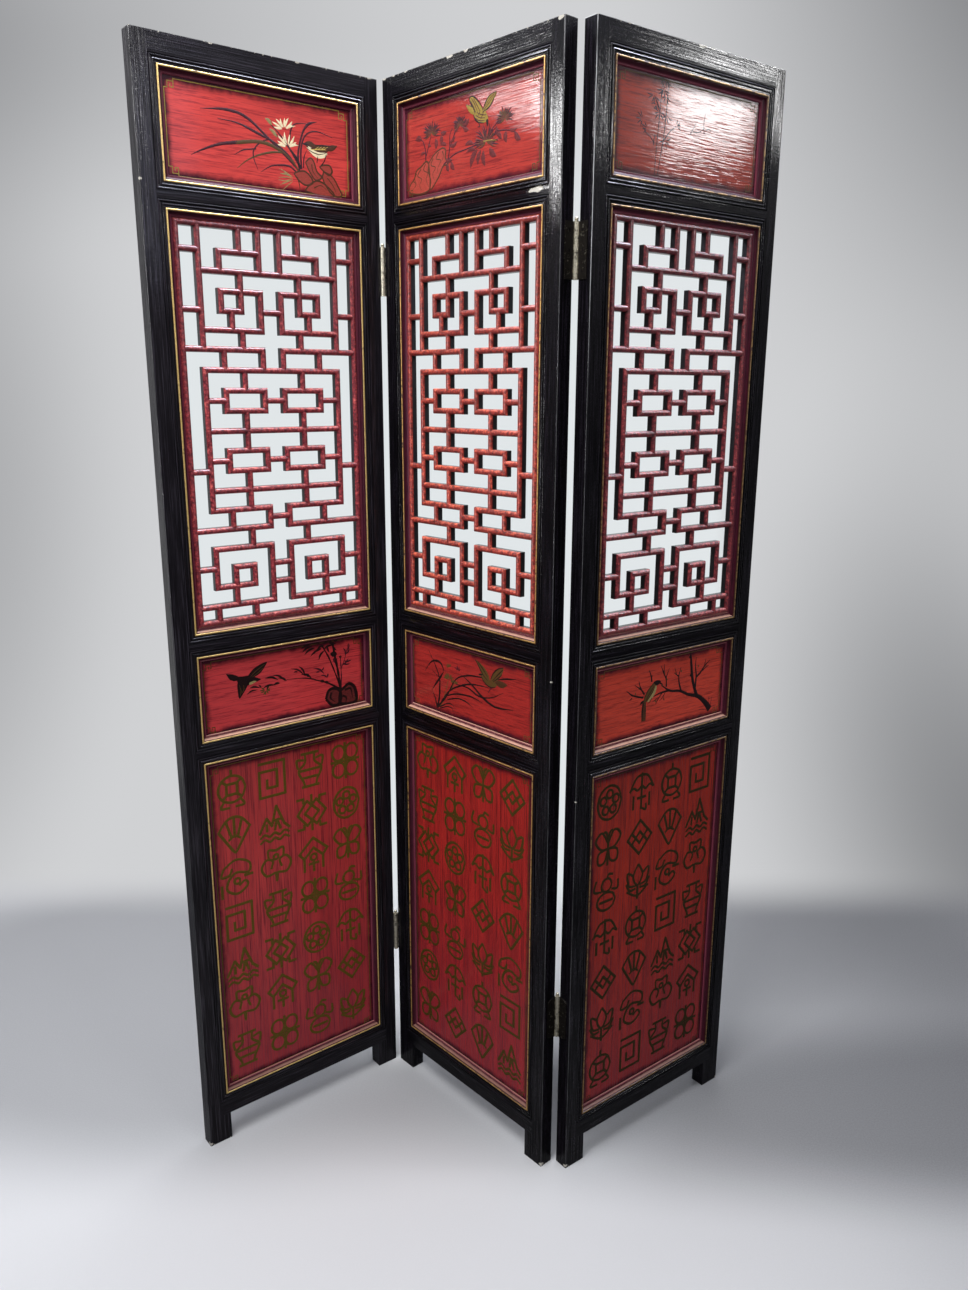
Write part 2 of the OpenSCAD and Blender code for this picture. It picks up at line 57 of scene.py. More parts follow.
# the visible part of each board, as x0, x1, z0, z1
BOARDS = {
    "bottom": (47.3, 359.7, 103.8, 723.7),
    "waist": (47.3, 359.7, 780.3, 908.2),
    "top": (47.3, 359.7, 1644.8, 1778.7),
}
BOARD_DEPTH = 10


def in_room(panel, x, depth, z):
    """Turns a panel's own millimetres to the room's metres.

    The point moves x along the panel's width and depth along its normal, and both
    directions are the room's X and Y turned by the panel's yaw."""
    yaw, x0, y0 = PLACES[panel]
    c, s = math.cos(math.radians(yaw)), math.sin(math.radians(yaw))
    return np.stack([x0 + x * c - depth * s, y0 + x * s + depth * c, z + 0 * x], -1) * MM


print("middle panel's top right corner", in_room("middle", np.array(407.0), 0, 1830.0).round(3))

# %% [markdown]
# ## The camera
# A phone held at about 1.35 m looks slightly down at the screen. Its place and turn were found
# by fitting the screen's corners, and a matrix sets them all at once: its columns are the
# camera's right, its up and its back.

# %% Camera
CAMERA_AT = (0.01408, -1.67226, 1.34554)
PAN, TILT, ROLL = (math.radians(a) for a in (0.208, -14.30, 0.232))
SENSOR_MM, LENS_MM = 36, 28.155

forward = np.array([math.sin(PAN) * math.cos(TILT), math.cos(PAN) * math.cos(TILT), math.sin(TILT)])
level = np.array([math.cos(PAN), -math.sin(PAN), 0])
upright = np.cross(level, forward)
pose = np.eye(4)
pose[:3, 0] = level * math.cos(ROLL) + upright * math.sin(ROLL)
pose[:3, 1] = upright * math.cos(ROLL) - level * math.sin(ROLL)
pose[:3, 2] = -forward
pose[:3, 3] = CAMERA_AT

camera = bpy.data.objects.new("camera", bpy.data.cameras.new("camera"))
bpy.context.scene.collection.objects.link(camera)
camera.matrix_world = Matrix(pose.tolist())
camera.data.sensor_width = SENSOR_MM
camera.data.lens = LENS_MM
bpy.context.scene.camera = camera
print("camera looks along", forward.round(3))

# %% [markdown]
# ## Helpers for materials
# A finish is a small graph of nodes. One function adds a node, sets its properties and fills
# its inputs, either with a plain value or with a link from another node. Colours are written
# as the sRGB hex values that a colour picker shows, and one function makes them linear. A Mix
# node of colours keeps its two colours in sockets 6 and 7, so they are filled by number.

# %% Material helpers
def linear(colour):
    """The linear RGBA of an sRGB hex colour: below 0.04045 a straight line, above it a
    power of 2.4."""
    c = np.array([int(colour[i:i + 2], 16) for i in (1, 3, 5)]) / 255
    return (*np.where(c <= 0.04045, c / 12.92, ((c + 0.055) / 1.055) ** 2.4), 1.0)


def result(source):
    """The socket that a link starts from: of a node, its first output that is in use."""
    if isinstance(source, bpy.types.Node):
        return next(socket for socket in source.outputs if socket.enabled)
    return source


def add(tree, kind, inputs=None, **settings):
    """Adds one shader node. An input is filled with a value, or linked from a node or socket."""
    node = tree.nodes.new("ShaderNode" + kind)
    for name, value in settings.items():
        setattr(node, name, value)
    for socket, value in (inputs or {}).items():
        if isinstance(value, (bpy.types.Node, bpy.types.NodeSocket)):
            tree.links.new(result(value), node.inputs[socket])
        else:
            node.inputs[socket].default_value = value
    return node


def new_finish(name, **constants):
    """A material with a Principled shader whose constant sockets are set by name."""
    material = bpy.data.materials.new(name)
    material.use_nodes = True
    material.node_tree.nodes.clear()
    shader = add(material.node_tree, "BsdfPrincipled",
                 {k.replace("_", " "): v for k, v in constants.items()})
    add(material.node_tree, "OutputMaterial", {"Surface": shader})
    return material, material.node_tree, shader


def wire(tree, shader, **sources):
    """Links one node to each of the shader's named sockets."""
    for name, source in sources.items():
        tree.links.new(result(source), shader.inputs[name.replace("_", " ")])


def wear(node_name, material):
    """Puts a finish in every material slot of a CAD node."""
    data = NODES[node_name].data
    data.materials.clear()
    data.materials.append(material)


print("mid grey in linear", [round(float(v), 4) for v in linear("#808080")])

# %% [markdown]
# ## Places and grains on a panel
# Every finish is laid out in a panel's own axes, so it stays put when the panel swings. Brush
# marks are noise stretched along the stroke: its grain is as long as the stroke in one
# direction and as wide as a bristle's mark in the other two.

# %% Place and grain helpers
def panel_point(tree, panel):
    """The shaded point in a panel's own axes, in metres: the room's point turned back by
    the yaw and moved so that the panel's front left foot is the origin."""
    yaw, x0, y0 = PLACES[panel]
    a = -math.radians(yaw)
    c, s = math.cos(a), math.sin(a)
    back = (-(x0 * c - y0 * s) * MM, -(x0 * s + y0 * c) * MM, 0)
    here = add(tree, "TexCoord").outputs["Object"]
    return add(tree, "Mapping", {"Vector": here, "Location": back, "Rotation": (0, 0, a)})


def stretched(tree, point, lengths, detail=2.0, rough=0.5):
    """Noise whose grains measure the three given lengths in millimetres."""
    scale = tuple(1 / (n * MM) for n in lengths)
    spread = add(tree, "Mapping", {"Vector": point, "Scale": scale})
    return add(tree, "TexNoise", {"Vector": spread, "Scale": 1.0, "Detail": detail, "Roughness": rough})


def grain(upright_grain, width, length):
    """The three lengths of a brushed grain that runs up, or else along the panel's width."""
    return (width, width, length) if upright_grain else (length, width, width)


def inset(tree, coordinate, low, high):
    """How far a coordinate lies inside the nearer of two limits: half the way between them
    less the distance from their middle."""
    middle = add(tree, "Math", {0: coordinate, 1: (low + high) / 2}, operation="SUBTRACT")
    off = add(tree, "Math", {0: middle}, operation="ABSOLUTE")
    return add(tree, "Math", {0: (high - low) / 2, 1: off}, operation="SUBTRACT")


print("an upright brush grain measures", grain(True, 2.5, 160), "mm")

# %% [markdown]
# ## Black lacquer of the frame
# The frame is wood under many coats of black lacquer, brushed along each member and rubbed to
# a gloss. The eye sees a nearly black ground, long soft brush ridges that break up reflections,
# and small cream chips on the outer arrises, where the coat has been knocked off down to its
# primer. Brush ridges on real work are about 1 mm wide, drawn here as 2.5 mm so that they show.
# A chip lies where a noise is high and an arris is near: on a box the distance to the nearest
# arris is the middle one of the three distances to its faces.

# %% Chips, and worn arrises with a painted highlight
# x, depth, z and half length in millimetres of the chips that show most; the two on the middle
# panel near z 1620 stand for a glare at its upper rail's corner, a painted highlight
CHIPS = {
    "left": ((0, 0, 1634, 4), (120, 0, 1830, 4), (262, 0, 1830, 4), (392, 0, 1830, 5), (0, 3, 4, 6)),
    "middle": ((6, 0, 1830, 5), (30, 0, 1830, 4), (62, 0, 1830, 4), (168, 0, 1830, 8),
               (206, 0, 1830, 6), (361, 0, 1620, 9), (349, 0, 1619, 6), (399, 0, 1828, 6),
               (407, 0, 4, 6), (407, 0, 900, 3)),
    "right": ((60, 0, 1830, 3), (210, 0, 1830, 8), (232, 0, 1830, 5), (0, 0, 5, 5),
              (407, 0, 3, 5), (0, 0, 700, 3)),
}
# how far the upper arrises of a panel are worn and painted with a highlight, from none to wholly grey
ARRIS_WEAR_AND_HIGHLIGHT = {"left": 0.15, "middle": 0.15, "right": 0.7}
# the height in metres over which the worn and highlighted line grows to its most
ARRIS_LINE_HEIGHT = (1.36, 1.54)
# a speck of noise must be this much higher for every metre that it lies from the arris
SPECK_CLIMB = 45.0


def arris_gap(tree, place):
    """The distance to the panel's nearest arris, and the distance to its nearer end."""
    across, deep, end = (inset(tree, place.outputs[axis], 0, size * MM)
                         for axis, size in (("X", PANEL_W), ("Y", PANEL_T), ("Z", PANEL_H)))
    low = add(tree, "Math", {0: across, 1: deep}, operation="MINIMUM")
    high = add(tree, "Math", {0: across, 1: deep}, operation="MAXIMUM")
    next_low = add(tree, "Math", {0: high, 1: end}, operation="MINIMUM")
    return add(tree, "Math", {0: low, 1: next_low}, operation="MAXIMUM"), end


def chipped(tree, point, specks, arris, end, chips):
    """One on a chip and nought elsewhere. Small chips lie where the specks rise over a level
    that grows away from the arris; the larger ones are ellipses, twice as wide as they are
    high, whose rim the specks make uneven."""
    # ends are knocked more than the long arrises: the level is lower near the floor and top
    level_here = add(tree, "MapRange", {"Value": end, "From Max": 20 * MM, "To Min": 0.56,
                                        "To Max": 0.69}, interpolation_type="SMOOTHSTEP")
    climb = add(tree, "Math", {0: arris, 1: SPECK_CLIMB}, operation="MULTIPLY")
    need = add(tree, "Math", {0: level_here, 1: climb}, operation="ADD")
    over = add(tree, "Math", {0: specks, 1: need}, operation="SUBTRACT")
    chip = add(tree, "MapRange", {"Value": over, "From Max": 0.015})
    flat = add(tree, "VectorMath", {0: point, 1: (1, 1, 2)}, operation="MULTIPLY")
    for x, depth, z, radius in chips:
        away = add(tree, "VectorMath", {0: flat, 1: (x * MM, depth * MM, 2 * z * MM)},
                   operation="DISTANCE")
        rim = add(tree, "Math", {0: specks, 1: -2.2 * radius * MM, 2: away},
                  operation="MULTIPLY_ADD")
        bare = add(tree, "MapRange", {"Value": rim, "From Min": -0.1 * radius * MM,
                                      "From Max": -0.2 * radius * MM})
        chip = add(tree, "Math", {0: chip, 1: bare}, operation="MAXIMUM")
    return chip


def arris_wear_and_highlight(tree, point, place, arris, most):
    """How grey an arris is painted: worn lacquer and a painted highlight in one line 0.9 mm wide,
    strongest from 1.54 m up and broken by patches."""
    thin = add(tree, "MapRange", {"Value": arris, "From Min": 0.9 * MM, "From Max": 0.4 * MM})
    highlight_height = add(tree, "MapRange", {"Value": place.outputs["Z"], "From Min": ARRIS_LINE_HEIGHT[0],
                                     "From Max": ARRIS_LINE_HEIGHT[1], "To Min": 0.1, "To Max": most})
    patchy = add(tree, "MapRange", {"Value": stretched(tree, point, (70, 70, 70)),
                                    "From Min": 0.36, "From Max": 0.5, "To Min": 0.25})
    line_here = add(tree, "Math", {0: thin, 1: highlight_height}, operation="MULTIPLY")
    return add(tree, "Math", {0: line_here, 1: patchy}, operation="MULTIPLY")


print(sum(len(chips) for chips in CHIPS.values()), "larger chips")

# %% Black lacquer
# the dark and the light of the brush hairs; the left panel has faded a little
BLACKS = {
    "left": ("#100E12", "#2E2A32"),
    "middle": ("#050406", "#1E1A22"),
    "right": ("#050406", "#1E1A22"),
}
# the pale grey of the arris line, worn lacquer and a painted highlight in one, and the primer under the
# chips
ARRIS_HIGHLIGHT_GREY, PRIMER = "#E2E4E8", "#A9A59C"
# a duster polishes the upper side of every rail and misses the lower edge of the one above
# each opening, which stays dull: the heights where those edges start, and how high they are
OPENING_TOPS, DULL_EDGE = (734.5, 919, 1599, 1789.5), 14
RAMP_M = 2


def rail_polish(tree, place, upright_grain):
    """One where the duster reaches, and 0.12 on the dull lower edges of the rails."""
    height = add(tree, "Math", {0: place.outputs["Z"], 1: 1 / RAMP_M}, operation="MULTIPLY")
    polish = add(tree, "ValToRGB", {"Fac": height})
    steps = polish.color_ramp.elements
    polish.color_ramp.interpolation = "CONSTANT"
    steps.remove(steps[1])
    steps[0].color = (1, 1, 1, 1)
    if not upright_grain:
        for top in OPENING_TOPS:
            steps.new(top * MM / RAMP_M).color = (0.12, 0.12, 0.12, 1)
            steps.new((top + DULL_EDGE) * MM / RAMP_M).color = (1, 1, 1, 1)
    return polish


def black_lacquer(panel, upright_grain):
    """Rubbed black lacquer on wood, brushed up a stile or along a rail."""
    kind = "stile" if upright_grain else "rail"
    material, tree, shader = new_finish(
        f"{panel}_black_lacquer_{kind}", Specular_IOR_Level=0.05, Coat_Roughness=0.025)
    point = panel_point(tree, panel)
    place = add(tree, "SeparateXYZ", {0: point})
    ridges = stretched(tree, point, grain(upright_grain, 2.5, 160), 3, 0.6)
    waves = stretched(tree, point, grain(upright_grain, 45, 90), 1)
    hairs = stretched(tree, point, grain(upright_grain, 1.6, 110), 3, 0.7)
    specks = stretched(tree, point, (4.5, 4.5, 6), 4, 0.65)
    skin = stretched(tree, point, (3, 3, 4.5), 3, 0.7)

    arris, end = arris_gap(tree, place)
    chip = chipped(tree, point, specks, arris, end, CHIPS[panel])
    rubbed = arris_wear_and_highlight(tree, point, place, arris, ARRIS_WEAR_AND_HIGHLIGHT[panel])
    dark, light = BLACKS[panel]
    lines = add(tree, "MapRange", {"Value": hairs, "From Min": 0.5, "From Max": 0.66})
    colour = add(tree, "Mix", {0: lines, 6: linear(dark), 7: linear(light)}, data_type="RGBA")
    # painted highlight: the pale grey line on the upper arrises stands for worn lacquer and a highlight in
    # one
    colour = add(tree, "Mix", {0: rubbed, 6: colour, 7: linear(ARRIS_HIGHLIGHT_GREY)}, data_type="RGBA")
    colour = add(tree, "Mix", {0: chip, 6: colour, 7: linear(PRIMER)}, data_type="RGBA")
    gloss = add(tree, "MapRange", {"Value": ridges, "From Min": 0.3, "From Max": 0.7,
                                   "To Min": 0.3, "To Max": 0.45})
    dull = add(tree, "Math", {0: gloss, 1: chip}, operation="MAXIMUM")

    # the clear coat is thin between the brush hairs and in small pits
    streaky = add(tree, "MapRange", {"Value": hairs, "From Min": 0.38, "From Max": 0.64, "To Min": 0.06})
    pitted = add(tree, "MapRange", {"Value": specks, "From Min": 0.38, "From Max": 0.52,
                                    "To Min": 0.62, "To Max": 1.12})
    clear = add(tree, "Math", {0: streaky, 1: pitted}, operation="MULTIPLY", use_clamp=True)
    polish = rail_polish(tree, place, upright_grain)
    coat = add(tree, "Math", {0: clear, 1: polish}, operation="MULTIPLY")

    # three reliefs lie over each other: slow waves, an uneven skin and the brush ridges
    swell = add(tree, "Bump", {"Height": waves, "Strength": 0.5, "Distance": 0.6 * MM})
    peel = add(tree, "Bump", {"Height": skin, "Strength": 0.9, "Distance": 0.15 * MM, "Normal": swell})
    brushed = add(tree, "Bump", {"Height": ridges, "Strength": 0.8, "Distance": 0.2 * MM, "Normal": peel})
    wire(tree, shader, Base_Color=colour, Roughness=dull, Normal=brushed,
         Coat_Weight=coat, Coat_Normal=brushed)
    return material


for panel in PLACES:
    stile_coat, rail_coat = black_lacquer(panel, True), black_lacquer(panel, False)
    for side in ("left", "right"):
        wear(f"{panel}_panel_{side}_stile", stile_coat)
    for rail in ("bottom", "lower", "waist", "upper", "top"):
        wear(f"{panel}_panel_{rail}_rail", rail_coat)
    print(panel, "panel: two stiles and five rails lacquered")

# %% [markdown]
# ## Red lacquer of the boards
# The picture boards are red lacquer brushed level over a dark coat, so fine dark streaks show
# between the strokes, and their edges are darkened to a brown: painted shade in the recess. The
# tall boards are a deeper crimson, brushed upright. Both fade to the edge colour within about
# 12 mm of the moulding, along a line that wanders. The backs of the boards are plain black lacquer.

# %% Red lacquer
# the ground and the dark streaks of each board
REDS = {
    ("left", "top"): ("#CC4642", "#8A282C"),
    ("middle", "top"): ("#9C3630", "#661E20"),
    ("right", "top"): ("#963224", "#5E1C18"),
    ("left", "waist"): ("#C03C3E", "#7A1E26"),
    ("middle", "waist"): ("#9E2C28", "#641818"),
    ("right", "waist"): ("#BE4030", "#7A241C"),
    ("left", "bottom"): ("#AA3636", "#5E1A20"),
    ("middle", "bottom"): ("#9C2622", "#501214"),
    ("right", "bottom"): ("#982A1E", "#4E1414"),
}
# the brown of the painted edge shade, the rose of a painted reflection of the floor, and the black of the
# boards' backs
EDGE_SHADE_BROWN, FLOOR_REFLECTION_ROSE, BACK_BLACK = "#35101C", "#64283A", "#141217"
BOARD_T = 3
# the painted edge shade is a little wider under the top moulding, as the moulding's painted shadow
TOP_SHADOW_EXTRA = 2


def recess_shade(tree, point, place, board):
    """Painted shade: one at the edge of a board and nought from about 12 mm in, along a wandering line."""
    x0, x1, z0, z1 = (v * MM for v in BOARDS[board])
    clouds = stretched(tree, point, (22, 22, 22), 3, 0.6)
    side = inset(tree, place.outputs["X"], x0, x1)
    end = inset(tree, place.outputs["Z"], z0, z1 - TOP_SHADOW_EXTRA * MM)
    gap = add(tree, "Math", {0: side, 1: end}, operation="MINIMUM")
    # clouds of noise shift the line by up to 14 mm
    wander = add(tree, "Math", {0: clouds, 1: 14 * MM, 2: gap}, operation="MULTIPLY_ADD")
    return add(tree, "MapRange", {"Value": wander, "From Min": 7 * MM, "From Max": 20 * MM,
                                  "To Min": 1.0, "To Max": 0.0}, interpolation_type="SMOOTHSTEP")


def red_lacquer(panel, board, ground, shade):
    """Red lacquer over a dark coat, brushed up the tall boards and along the others."""
    upright_grain = board == "bottom"
    material, tree, shader = new_finish(
        f"{panel}_{board}_red_lacquer", Specular_IOR_Level=0.08, Coat_Roughness=0.07)
    point = panel_point(tree, panel)
    place = add(tree, "SeparateXYZ", {0: point})
    # real comb marks are 1 mm apart, too fine to show, so the relief has them at 2 to 3 mm
    if upright_grain:
        streak_size, fade_size, comb_size, comb_height = (2.4, 120), (14, 220), (2, 90), 0.11
    else:
        streak_size, fade_size, comb_size, comb_height = (1.8, 42), (14, 160), (2.6, 46), 0.19
    streaks = stretched(tree, point, grain(upright_grain, *streak_size), 4, 0.7)
    broad = stretched(tree, point, grain(upright_grain, *fade_size))
    comb = stretched(tree, point, grain(upright_grain, *comb_size), 1.6, 0.55)
    edge_shade = recess_shade(tree, point, place, board)

    dark = add(tree, "MapRange", {"Value": streaks, "From Min": 0.46, "From Max": 0.66})
    fading = add(tree, "MapRange", {"Value": broad, "From Min": 0.35, "From Max": 0.7, "To Max": 0.3})
    # painted reflection: the foot of a tall board is mixed towards a dull rose, standing for
    # the pale floor mirrored in the lacquer
    floor_reflection = add(tree, "MapRange", {"Value": place.outputs["Z"], "From Min": 0.08, "From Max": 0.5,
                                    "To Min": 0.4, "To Max": 0.0})
    behind = add(tree, "Math", {0: place.outputs["Y"], 1: (BOARD_DEPTH + BOARD_T) * MM},
                 operation="GREATER_THAN")
    colour = linear(ground)
    for where, tone in ((dark, shade), (fading, shade), (floor_reflection, FLOOR_REFLECTION_ROSE), (edge_shade, EDGE_SHADE_BROWN),
                        (behind, BACK_BLACK)):
        colour = add(tree, "Mix", {0: where, 6: colour, 7: linear(tone)}, data_type="RGBA")
    gloss = add(tree, "MapRange", {"Value": streaks, "From Min": 0.3, "From Max": 0.7,
                                   "To Min": 0.2, "To Max": 0.36})
    # the clear coat is also thinner where the edge shade is painted
    coat = add(tree, "MapRange", {"Value": edge_shade, "To Min": 0.45, "To Max": 0.08})
    brushed = add(tree, "Bump", {"Height": comb, "Strength": 1.0, "Distance": comb_height * MM})
    wire(tree, shader, Base_Color=colour, Roughness=gloss, Normal=brushed,
         Coat_Weight=coat, Coat_Normal=brushed)
    return material


for (panel, board), tones in REDS.items():
    wear(f"{panel}_panel_{board}_board", red_lacquer(panel, board, *tones))
print(len(REDS), "boards lacquered")

# %% [markdown]
# ## Paint of the fret lattice
# The rounded fronts of the sticks are dabbed with dull red over a black coat, and the brush
# stopped at the flat sides, which stay black. So the depth behind the panel's face decides:
# red up to where the round ends, 10 mm deep, along a slightly unsteady line.

# %% Lattice paint
# the red, the painted highlight and the dark ground of each panel's sticks; the panels differ
# mostly as the light on each fell, so these tones are also painted light and shade
FRETS = {
    "left": ("#A0343E", "#D46A5E", "#420F18"),
    "middle": ("#AE382E", "#DE6E4E", "#481210"),
    "right": ("#8C2C34", "#C2605A", "#340C14"),
}
STICK_SIDE = "#120E12"


def fret_paint(panel, red, bright, dark):
    """Dull red dabbed over black lacquer: tones lie over each other, the sticks' sides last."""
    material, tree, shader = new_finish(
        f"{panel}_fret_lacquer", IOR=1.5, Coat_Weight=0.3, Coat_Roughness=0.14)
    point = panel_point(tree, panel)
    place = add(tree, "SeparateXYZ", {0: point})
    up = add(tree, "SeparateXYZ", {0: add(tree, "NewGeometry").outputs["Normal"]})
    mottle = stretched(tree, point, (5, 5, 5), 5, 0.7)
    patches = stretched(tree, point, (60, 60, 60))
    dabs = add(tree, "MapRange", {"Value": mottle, "From Min": 0.36, "From Max": 0.62})
    # painted highlight: the upper side of a level stick is painted lighter, where light from above
    # falls on it
    upward_light = add(tree, "Math", {0: up.outputs["Z"], 1: 0.14, 2: mottle}, operation="MULTIPLY_ADD")
    lit = add(tree, "MapRange", {"Value": upward_light, "From Min": 0.54, "From Max": 0.72})
    # painted shade: the upper rows are darker, as in the shade of the rail
    worn = add(tree, "MapRange", {"Value": patches, "From Min": 0.45, "From Max": 0.75, "To Max": 0.5})
    upper = add(tree, "MapRange", {"Value": place.outputs["Z"], "From Min": 1.25, "From Max": 1.6,
                                   "To Max": 0.5}, interpolation_type="SMOOTHSTEP")
    worn_and_shaded = add(tree, "Math", {0: worn, 1: upper}, operation="MAXIMUM")
    unsteady = add(tree, "Math", {0: mottle, 1: 2.4 * MM, 2: place.outputs["Y"]},
                   operation="MULTIPLY_ADD")
    side = add(tree, "MapRange", {"Value": unsteady, "From Min": 10.2 * MM, "From Max": 10.9 * MM})
    colour = linear(dark)
    for where, tone in ((dabs, red), (lit, bright), (worn_and_shaded, dark), (side, STICK_SIDE)):
        colour = add(tree, "Mix", {0: where, 6: colour, 7: linear(tone)}, data_type="RGBA")
    gloss = add(tree, "MapRange", {"Value": mottle, "From Min": 0.3, "From Max": 0.7,
                                   "To Min": 0.3, "To Max": 0.5})
    dabbed = add(tree, "Bump", {"Height": mottle, "Strength": 0.6, "Distance": 0.35 * MM})
    wire(tree, shader, Base_Color=colour, Roughness=gloss, Normal=dabbed)
    return material


for panel, tones in FRETS.items():
    wear(f"{panel}_panel_lattice", fret_paint(panel, *tones))
print(len(FRETS), "lattices painted")

# %% [markdown]
# ## Gilt lines and maroon mouldings
# The thin bead round each opening is painted with gold bronze powder, which is a dull metal,
# and it has worn through to the dark coat in places; its dark flanks are partly painted shade.
# The coved moulding inside it is glossy maroon lacquer. Its lowest bead is painted lighter, a
# painted highlight, and its upward faces are painted pale where light from above falls on them.

# %% Gilt
# two golds, then where the rubbing and the flank of the bead start to show the dark coat; the
# right panel's darker golds and the dark flanks are partly painted shade
GILTS = {
    "left": ("#B08A38", "#EAD292", 0.57, 0.3),
    "middle": ("#946A30", "#C8A464", 0.52, 0.42),
    "right": ("#70562F", "#A88858", 0.48, 0.46),
}
UNDERCOAT = "#3A1E14"


def gilt_paint(panel, powder, bright, thin, crown):
    """Gold bronze powder in varnish, a dull metal, worn down to its dark undercoat."""
    material, tree, shader = new_finish(f"{panel}_gilt", Specular_IOR_Level=0.5)
    point = panel_point(tree, panel)
    rub = stretched(tree, point, (9, 9, 9), 5, 0.7)
    shine = stretched(tree, point, (2.5, 2.5, 2.5), 3)
    bald = add(tree, "MapRange", {"Value": rub, "From Min": thin, "From Max": thin + 0.1})
    # the brush only caught the crown of the bead, where the surface faces forwards; the dark flanks
    # are also painted shade
    yaw = math.radians(PLACES[panel][0])
    facing = add(tree, "VectorMath", {0: add(tree, "NewGeometry").outputs["Normal"],
                                      1: (math.sin(yaw), -math.cos(yaw), 0)},
                 operation="DOT_PRODUCT")
    ragged = add(tree, "Math", {0: rub, 1: -0.5, 2: facing}, operation="MULTIPLY_ADD")
    flank = add(tree, "MapRange", {"Value": ragged, "From Min": crown, "From Max": crown + 0.12,
                                   "To Min": 1.0, "To Max": 0.0})
    # the dark coat shows where the gold is rubbed, and on the flanks as painted shade
    worn = add(tree, "Math", {0: bald, 1: flank}, operation="MAXIMUM")
    gold = add(tree, "Mix", {0: shine, 6: linear(powder), 7: linear(bright)}, data_type="RGBA")
    colour = add(tree, "Mix", {0: worn, 6: gold, 7: linear(UNDERCOAT)}, data_type="RGBA")
    metal = add(tree, "MapRange", {"Value": worn, "To Min": 0.55, "To Max": 0.1})
    gloss = add(tree, "MapRange", {"Value": shine, "To Min": 0.3, "To Max": 0.5})
    grains = add(tree, "Bump", {"Height": shine, "Strength": 0.4, "Distance": 0.15 * MM})
    wire(tree, shader, Base_Color=colour, Metallic=metal, Roughness=gloss, Normal=grains)
    return material


for panel in PLACES:
    wear(f"{panel}_panel_gilt_beads", gilt_paint(panel, *GILTS[panel]))
print(len(GILTS), "panels' beads gilt")

# %% Maroon lacquer
# the maroons, a lighter maroon on the lowest bead as a painted highlight, and a pale salmon painted where
# upward faces catch the light from above
MAROONS, FOOT_HIGHLIGHT_MAROON, UPLIT_SALMON = ("#1E0812", "#461424"), "#743444", "#CFA08C"


def maroon_lacquer(panel):
    """Glossy maroon lacquer on coved wood, with a painted highlight on its lowest bead and painted
    light where the moulding faces up.
    """
    material, tree, shader = new_finish(
        f"{panel}_maroon_lacquer", Specular_IOR_Level=0.1, Coat_Weight=0.06, Coat_Roughness=0.2)
    point = panel_point(tree, panel)
    place = add(tree, "SeparateXYZ", {0: point})
    up = add(tree, "SeparateXYZ", {0: add(tree, "NewGeometry").outputs["Normal"]})
    cloud = stretched(tree, point, (12, 12, 12), 4, 0.65)
    # the foot bead is the deepest part of the moulding, 7.6 mm and more behind the face, and is
    # painted lighter as a highlight
    foot_highlight = add(tree, "MapRange", {"Value": place.outputs["Y"], "From Min": 7.2 * MM,
                                  "From Max": 7.9 * MM})
    # painted light: the strips under the boards face up and are painted a pale salmon where light
    # from above falls on them, most at waist height and less towards the top ones and the floor
    rub = add(tree, "Math", {0: cloud, 1: 0.5, 2: up.outputs["Z"]}, operation="MULTIPLY_ADD")
    below = add(tree, "MapRange", {"Value": place.outputs["Z"], "From Min": 0.1, "From Max": 0.7,
                                   "To Min": 0.3, "To Max": 0.8})
    above = add(tree, "MapRange", {"Value": place.outputs["Z"], "From Min": 0.9, "From Max": 1.6,
                                   "To Min": 0.8, "To Max": 0.04})
    reach = add(tree, "Math", {0: below, 1: above}, operation="MINIMUM")
    pale = add(tree, "MapRange", {"Value": rub, "From Min": 0.6, "From Max": 1.1, "To Max": reach})
    colour = linear(MAROONS[0])
    for where, tone in ((cloud, MAROONS[1]), (foot_highlight, FOOT_HIGHLIGHT_MAROON), (pale, UPLIT_SALMON)):
        colour = add(tree, "Mix", {0: where, 6: colour, 7: linear(tone)}, data_type="RGBA")
    gloss = add(tree, "MapRange", {"Value": cloud, "To Min": 0.3, "To Max": 0.5})
    swell = add(tree, "Bump", {"Height": cloud, "Strength": 0.3, "Distance": 0.3 * MM})
    wire(tree, shader, Base_Color=colour, Roughness=gloss, Normal=swell)
    return material


for panel in PLACES:
    wear(f"{panel}_panel_mouldings", maroon_lacquer(panel))
print(len(PLACES), "panels' mouldings lacquered")

# %% [markdown]
# ## Aged brass of the hinges
# The butt hinges are brass that has gone dark brown. Their knuckles, which hands touch, are
# rubbed bright, and the leaves keep their dirt. The screw heads are a little brighter than the
# leaves, because screwdrivers have scratched them.

# %% Aged brass
# the places in plan of the two folds' hinge pins, and the radii where the rubbing fades
FOLD_AXES = ((-153.024, 141.029), (148.240, -140.603))
KNUCKLE_R, KNUCKLE_FADE = 4.2, 5.5


